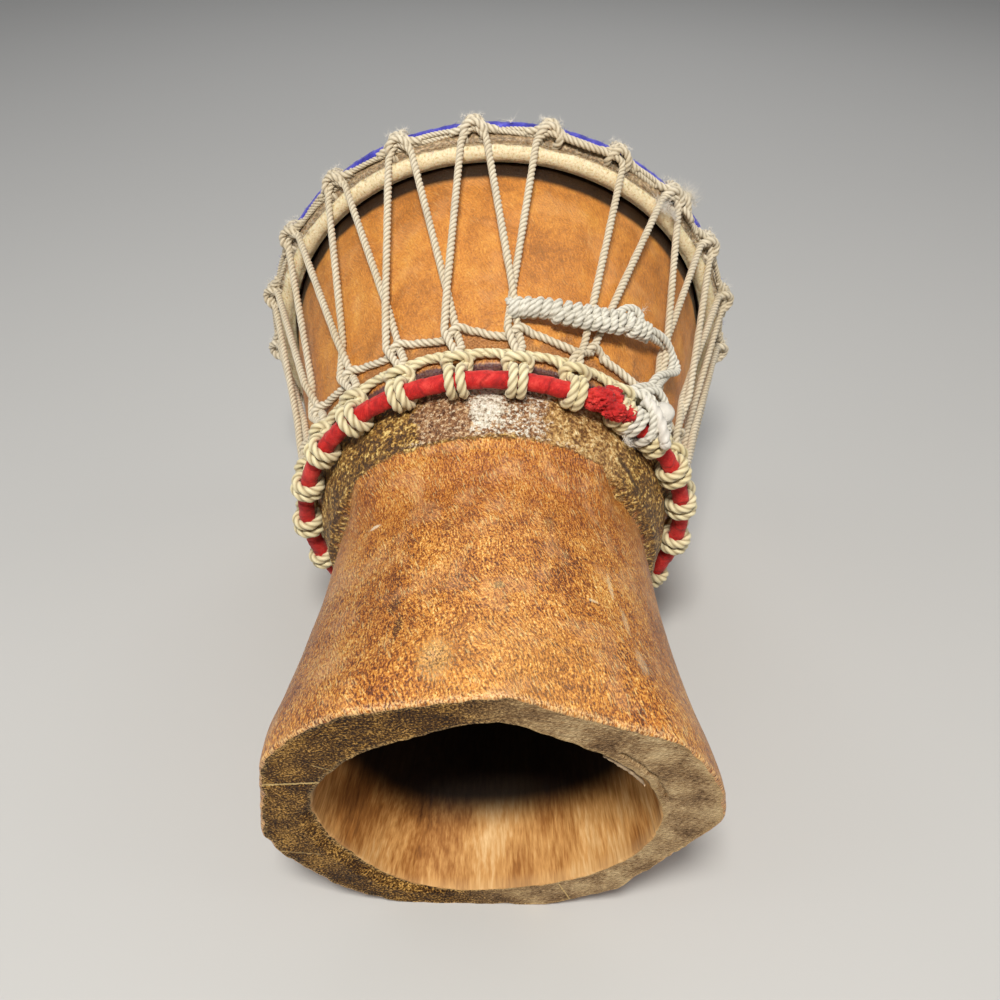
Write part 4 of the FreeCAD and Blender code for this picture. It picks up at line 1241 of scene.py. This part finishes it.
# two passes across the front, then turns round the ring below them
for shift, lift, seed in ((0.0, 0.0, 723), (-3.6, -2.6, 724)):
    over = [(-11.0, 93.0, 166.4), (-7.6, 97.6, 166.6), (-4.6, 99.8, 163.8), (-1.8, 99.8, 159.8),
            (0.8, 98.4, 155.6), (3.0, 95.6, 151.8), (4.0, 92.0, 148.8)]
    rope(heap, local_route(CLUSTER, [(u + shift, radius, height + lift) for u, radius, height in over]),
         2.0, 8.6, 1.2, seed=seed)
for offset, size, seed in ((-9.6, 2.1, 725), (-6.2, 2.1, 726), (1.4, 2.0, 727)):
    slant = [(u + 0.22 * (height - BASE_RING[1]), radius, height)
             for u, radius, height in turn_round(BASE_RING, 6.0, 100, -250, offset, offset + 0.8, 22)]
    rope(heap, local_route(CLUSTER, slant), size, 12.0, 0.7, seed=seed)
heap.make("finishing_knot", [WHITE], ["tail_knot"])
stub = Heap()
cut_end = [(-8.6, 98.2, 160.8), (-4.8, 100.0, 157.6), (-1.0, 99.9, 154.0), (3.2, 98.6, 150.0),
           (7.0, 96.8, 146.6)]
rope(stub, local_route(CLUSTER, cut_end), 2.9, 15.0, 1.0, seed=732)
for centre, size, seed, stretch in (
    (beside(CLUSTER, 7.4, 96.6, 146.2), 2.7, 733, (1, 0.9, 0.9)),
    (beside(CLUSTER, 4.2, 99.4, 162.0), 5.2, 731, (0.95, 0.85, 1.1)),
):
    points, faces, facts = lump(centre, size, (0.08, 0.05, 0.02), seed, stretch, 32, 44)
    stub.add(place(points), faces, facts)
stub.make("melted_rope_end", [MELT], ())

# joint of the crown line, a small knot with loose ends
heap = Heap()
JOINT = 44.0
for shift, seed in ((0.0, 741), (2.2, 742)):
    bow = [(-8.0, 128.0, 291.6), (-4.0, 131.6, 293.0 + shift), (0.5, 134.2, 296.0 + shift),
           (4.0, 133.4, 299.4), (3.4, 129.6, 302.4), (-1.0, 129.6, 301.6 - shift), (-3.0, 132.6, 297.4),
           (0.0, 134.2, 292.6), (4.6, 131.0, 289.6 + shift), (9.0, 128.4, 291.8)]
    rope(heap, local_route(JOINT, bow), 1.75, ROPE_LAY, 1.0, seed=seed, wear=0.03)
curl = [(1.0, 130.0, 290.2), (4.4, 131.0, 287.4), (7.2, 130.4, 286.4), (8.8, 129.4, 288.6),
        (7.6, 129.0, 291.0)]
rope(heap, local_route(JOINT, curl), 1.7, ROPE_LAY, 0.8, seed=743)
heap.make("crown_joint", [ROPE], ["crown_joint_knot"])

# ---------------------------------------------------------------- hairs and frayed fibres


def fibres(name, roots, ways, lengths, thickness, material, seed, curl=0.35):
    """Short tapering hairs, each a three-sided curved thread."""
    random = np.random.default_rng(seed)
    roots, ways = np.asarray(roots, float), np.asarray(ways, float)
    ways = ways / np.linalg.norm(ways, axis=1)[:, None]
    count, joints = len(roots), 5
    bend = random.normal(size=(count, 3)) * curl
    side = np.cross(ways, random.normal(size=(count, 3)))
    side /= np.linalg.norm(side, axis=1)[:, None]
    other = np.cross(ways, side)
    levels = np.linspace(0, 1, joints)
    spine = roots[:, None] + lengths[:, None, None] * (
        levels[None, :, None] * ways[:, None] + levels[None, :, None] ** 2 * bend[:, None]
    )
    width = thickness * (1.02 - levels)
    angle = np.arange(3) * 2 * np.pi / 3
    offset = (np.cos(angle)[None, None, :, None] * side[:, None, None]
              + np.sin(angle)[None, None, :, None] * other[:, None, None])
    points = spine[:, :, None] + width[None, :, None, None] * offset
    strip = np.concatenate([grid(joints, 3), [[0, 1, 2, 2]]])[:-1]
    faces = (np.arange(count)[:, None, None] * joints * 3 + strip[None]).reshape(-1, 4)
    return piece(name, place(points.reshape(-1, 3)), [faces], [material], None, None, ())


random = np.random.default_rng(801)
count = 1500
angle = random.uniform(0, 360, count)
angle = np.where(random.uniform(size=count) < 0.45, random.choice([182, 160, 5, -20], count)
                 + 26 * random.normal(size=count), angle)
roots = around(123.8 + random.uniform(0, 0.9, count), angle, 287 + random.uniform(-3, 4, count))
ways = around(0.8 + 0.3 * random.normal(size=count), angle + 20 * random.normal(size=count), -0.35
              + 0.5 * random.normal(size=count))
keep = roots @ np.array([0, 1, 0.16]) > -108
lengths = random.uniform(1.6, 4.6, count)[keep]
fibres("skin_hair", roots[keep], ways[keep], lengths, 0.11, HAIR, 802)

roots, ways, sizes = [], [], []
for index in range(KNOTS):
    at = crown_angle(index)
    if math.sin(math.radians(at)) < -0.80:
        continue
    for _ in range(170):
        u, lift = random.uniform(-6, 6), random.uniform(-60, 80)
        roots.append(beside(at, u, *off_ring(CROWN_RING, 7.6, lift)))
        ways.append(around(math.cos(math.radians(lift)), at + random.normal() * 30,
                           math.sin(math.radians(lift)) + 0.3 * random.normal()))
        sizes.append(random.uniform(0.8, 2.8))
for at, radius, level, spread, number, length in (
    (43.0, 133.0, 299.0, 5.0, 260, 6.5), (49.0, 124.5, 283.0, 4.5, 200, 7.0),
    (46.0, 126.0, 281.0, 3.0, 120, 5.0), (50.5, 99.0, 214.0, 1.2, 14, 5.0),
    (48.0, 86.0, 144.0, 2.6, 120, 3.6), (47.0, 98.0, 168.0, 5.0, 60, 2.2),
    (51.5, 108.0, 210.0, 1.0, 12, 5.5), (88.0, 131.0, 297.0, 1.0, 10, 6.0),
):
    for _ in range(number):
        jitter = random.normal(size=3) * spread * 0.5
        roots.append(beside(at, jitter[0], radius + abs(jitter[1]) * 0.3, level + jitter[2]))
        ways.append(around(0.9, at + random.normal() * 50, 0.2 + 0.8 * random.normal()))
        sizes.append(length * random.uniform(0.4, 1.0))
fibres("frayed_fibres", roots, ways, np.array(sizes), 0.10, FLUFF, 803, 0.5)

roots, ways = [], []
for _ in range(900):
    at = random.uniform(0, 360)
    lift = random.uniform(-70, 120)
    if math.sin(math.radians(at)) < -0.75:
        continue
    radius, level = off_ring(CROWN_RING, 4.1, lift)
    roots.append(around(radius, at, level))
    ways.append(around(math.cos(math.radians(lift)), at + 25 * random.normal(), math.sin(math.radians(lift))))
fibres("blue_fuzz", roots, ways, random.uniform(0.6, 2.0, len(roots)), 0.10, BLUE, 804)

# ---------------------------------------------------------------- floor, light, camera

floor_mesh = bpy.data.meshes.new("floor")
floor_mesh.from_pydata([(-4, -4, 0), (4, -4, 0), (4, 4, 0), (-4, 4, 0)], [], [(0, 1, 2, 3)])
floor_mesh.materials.append(plain("floor_paper", paint(196, 195, 192), 0.85, 3.0, 0.03))
floor = bpy.data.objects.new("floor", floor_mesh)
bpy.context.scene.collection.objects.link(floor)


def lamp(name, spot, target, size, power, colour):
    light = bpy.data.lights.new(name, "AREA")
    light.shape = "RECTANGLE"
    light.size, light.size_y = size
    light.energy = power
    light.color = colour
    made = bpy.data.objects.new(name, light)
    bpy.context.scene.collection.objects.link(made)
    ahead = np.array(target, float) - np.array(spot, float)
    ahead /= np.linalg.norm(ahead)
    right = np.cross(ahead, [0, 0.2, 1.0])
    right /= np.linalg.norm(right)
    up = np.cross(right, ahead)
    basis = Matrix([list(right) + [0], list(up) + [0], list(-ahead) + [0], [0, 0, 0, 1]]).transposed()
    basis.translation = spot
    made.matrix_world = basis


lamp("key", (-0.06, -0.62, 1.15), (0.0, -0.05, 0.12), (0.26, 0.22), 15.5, (1.0, 0.97, 0.92))
lamp("left_fill", (-1.3, -0.2, 1.0), (0.0, 0.0, 0.1), (1.2, 0.9), 4.0, (0.96, 0.98, 1.0))
lamp("right_fill", (1.3, -0.1, 1.0), (0.0, 0.0, 0.1), (1.2, 0.9), 4.0, (1.0, 0.97, 0.94))
lamp("back_fill", (0.1, 1.4, 1.2), (0.0, 0.0, 0.15), (1.4, 0.8), 6.0, (0.97, 0.98, 1.0))
world = bpy.data.worlds.new("studio")
world.use_nodes = True
world.node_tree.nodes["Background"].inputs["Color"].default_value = (0.93, 0.95, 1.0, 1.0)
world.node_tree.nodes["Background"].inputs["Strength"].default_value = 0.17
bpy.context.scene.world = world
bpy.context.scene.view_settings.view_transform = "Standard"

camera_data = bpy.data.cameras.new("camera")
camera_data.lens = 36.0
camera_data.sensor_width = 36.0
camera_data.clip_start = 0.01
camera = bpy.data.objects.new("camera", camera_data)
bpy.context.scene.collection.objects.link(camera)
CAMERA_PLACE = (0.003, -0.379, 0.422)
CAMERA_TILT = math.radians(51.3)
CAMERA_ROLL = math.radians(1.1)
aim = Matrix.Rotation(CAMERA_TILT, 4, "X") @ Matrix.Rotation(CAMERA_ROLL, 4, "Z")
camera.matrix_world = Matrix.Translation(CAMERA_PLACE) @ aim
bpy.context.scene.camera = camera
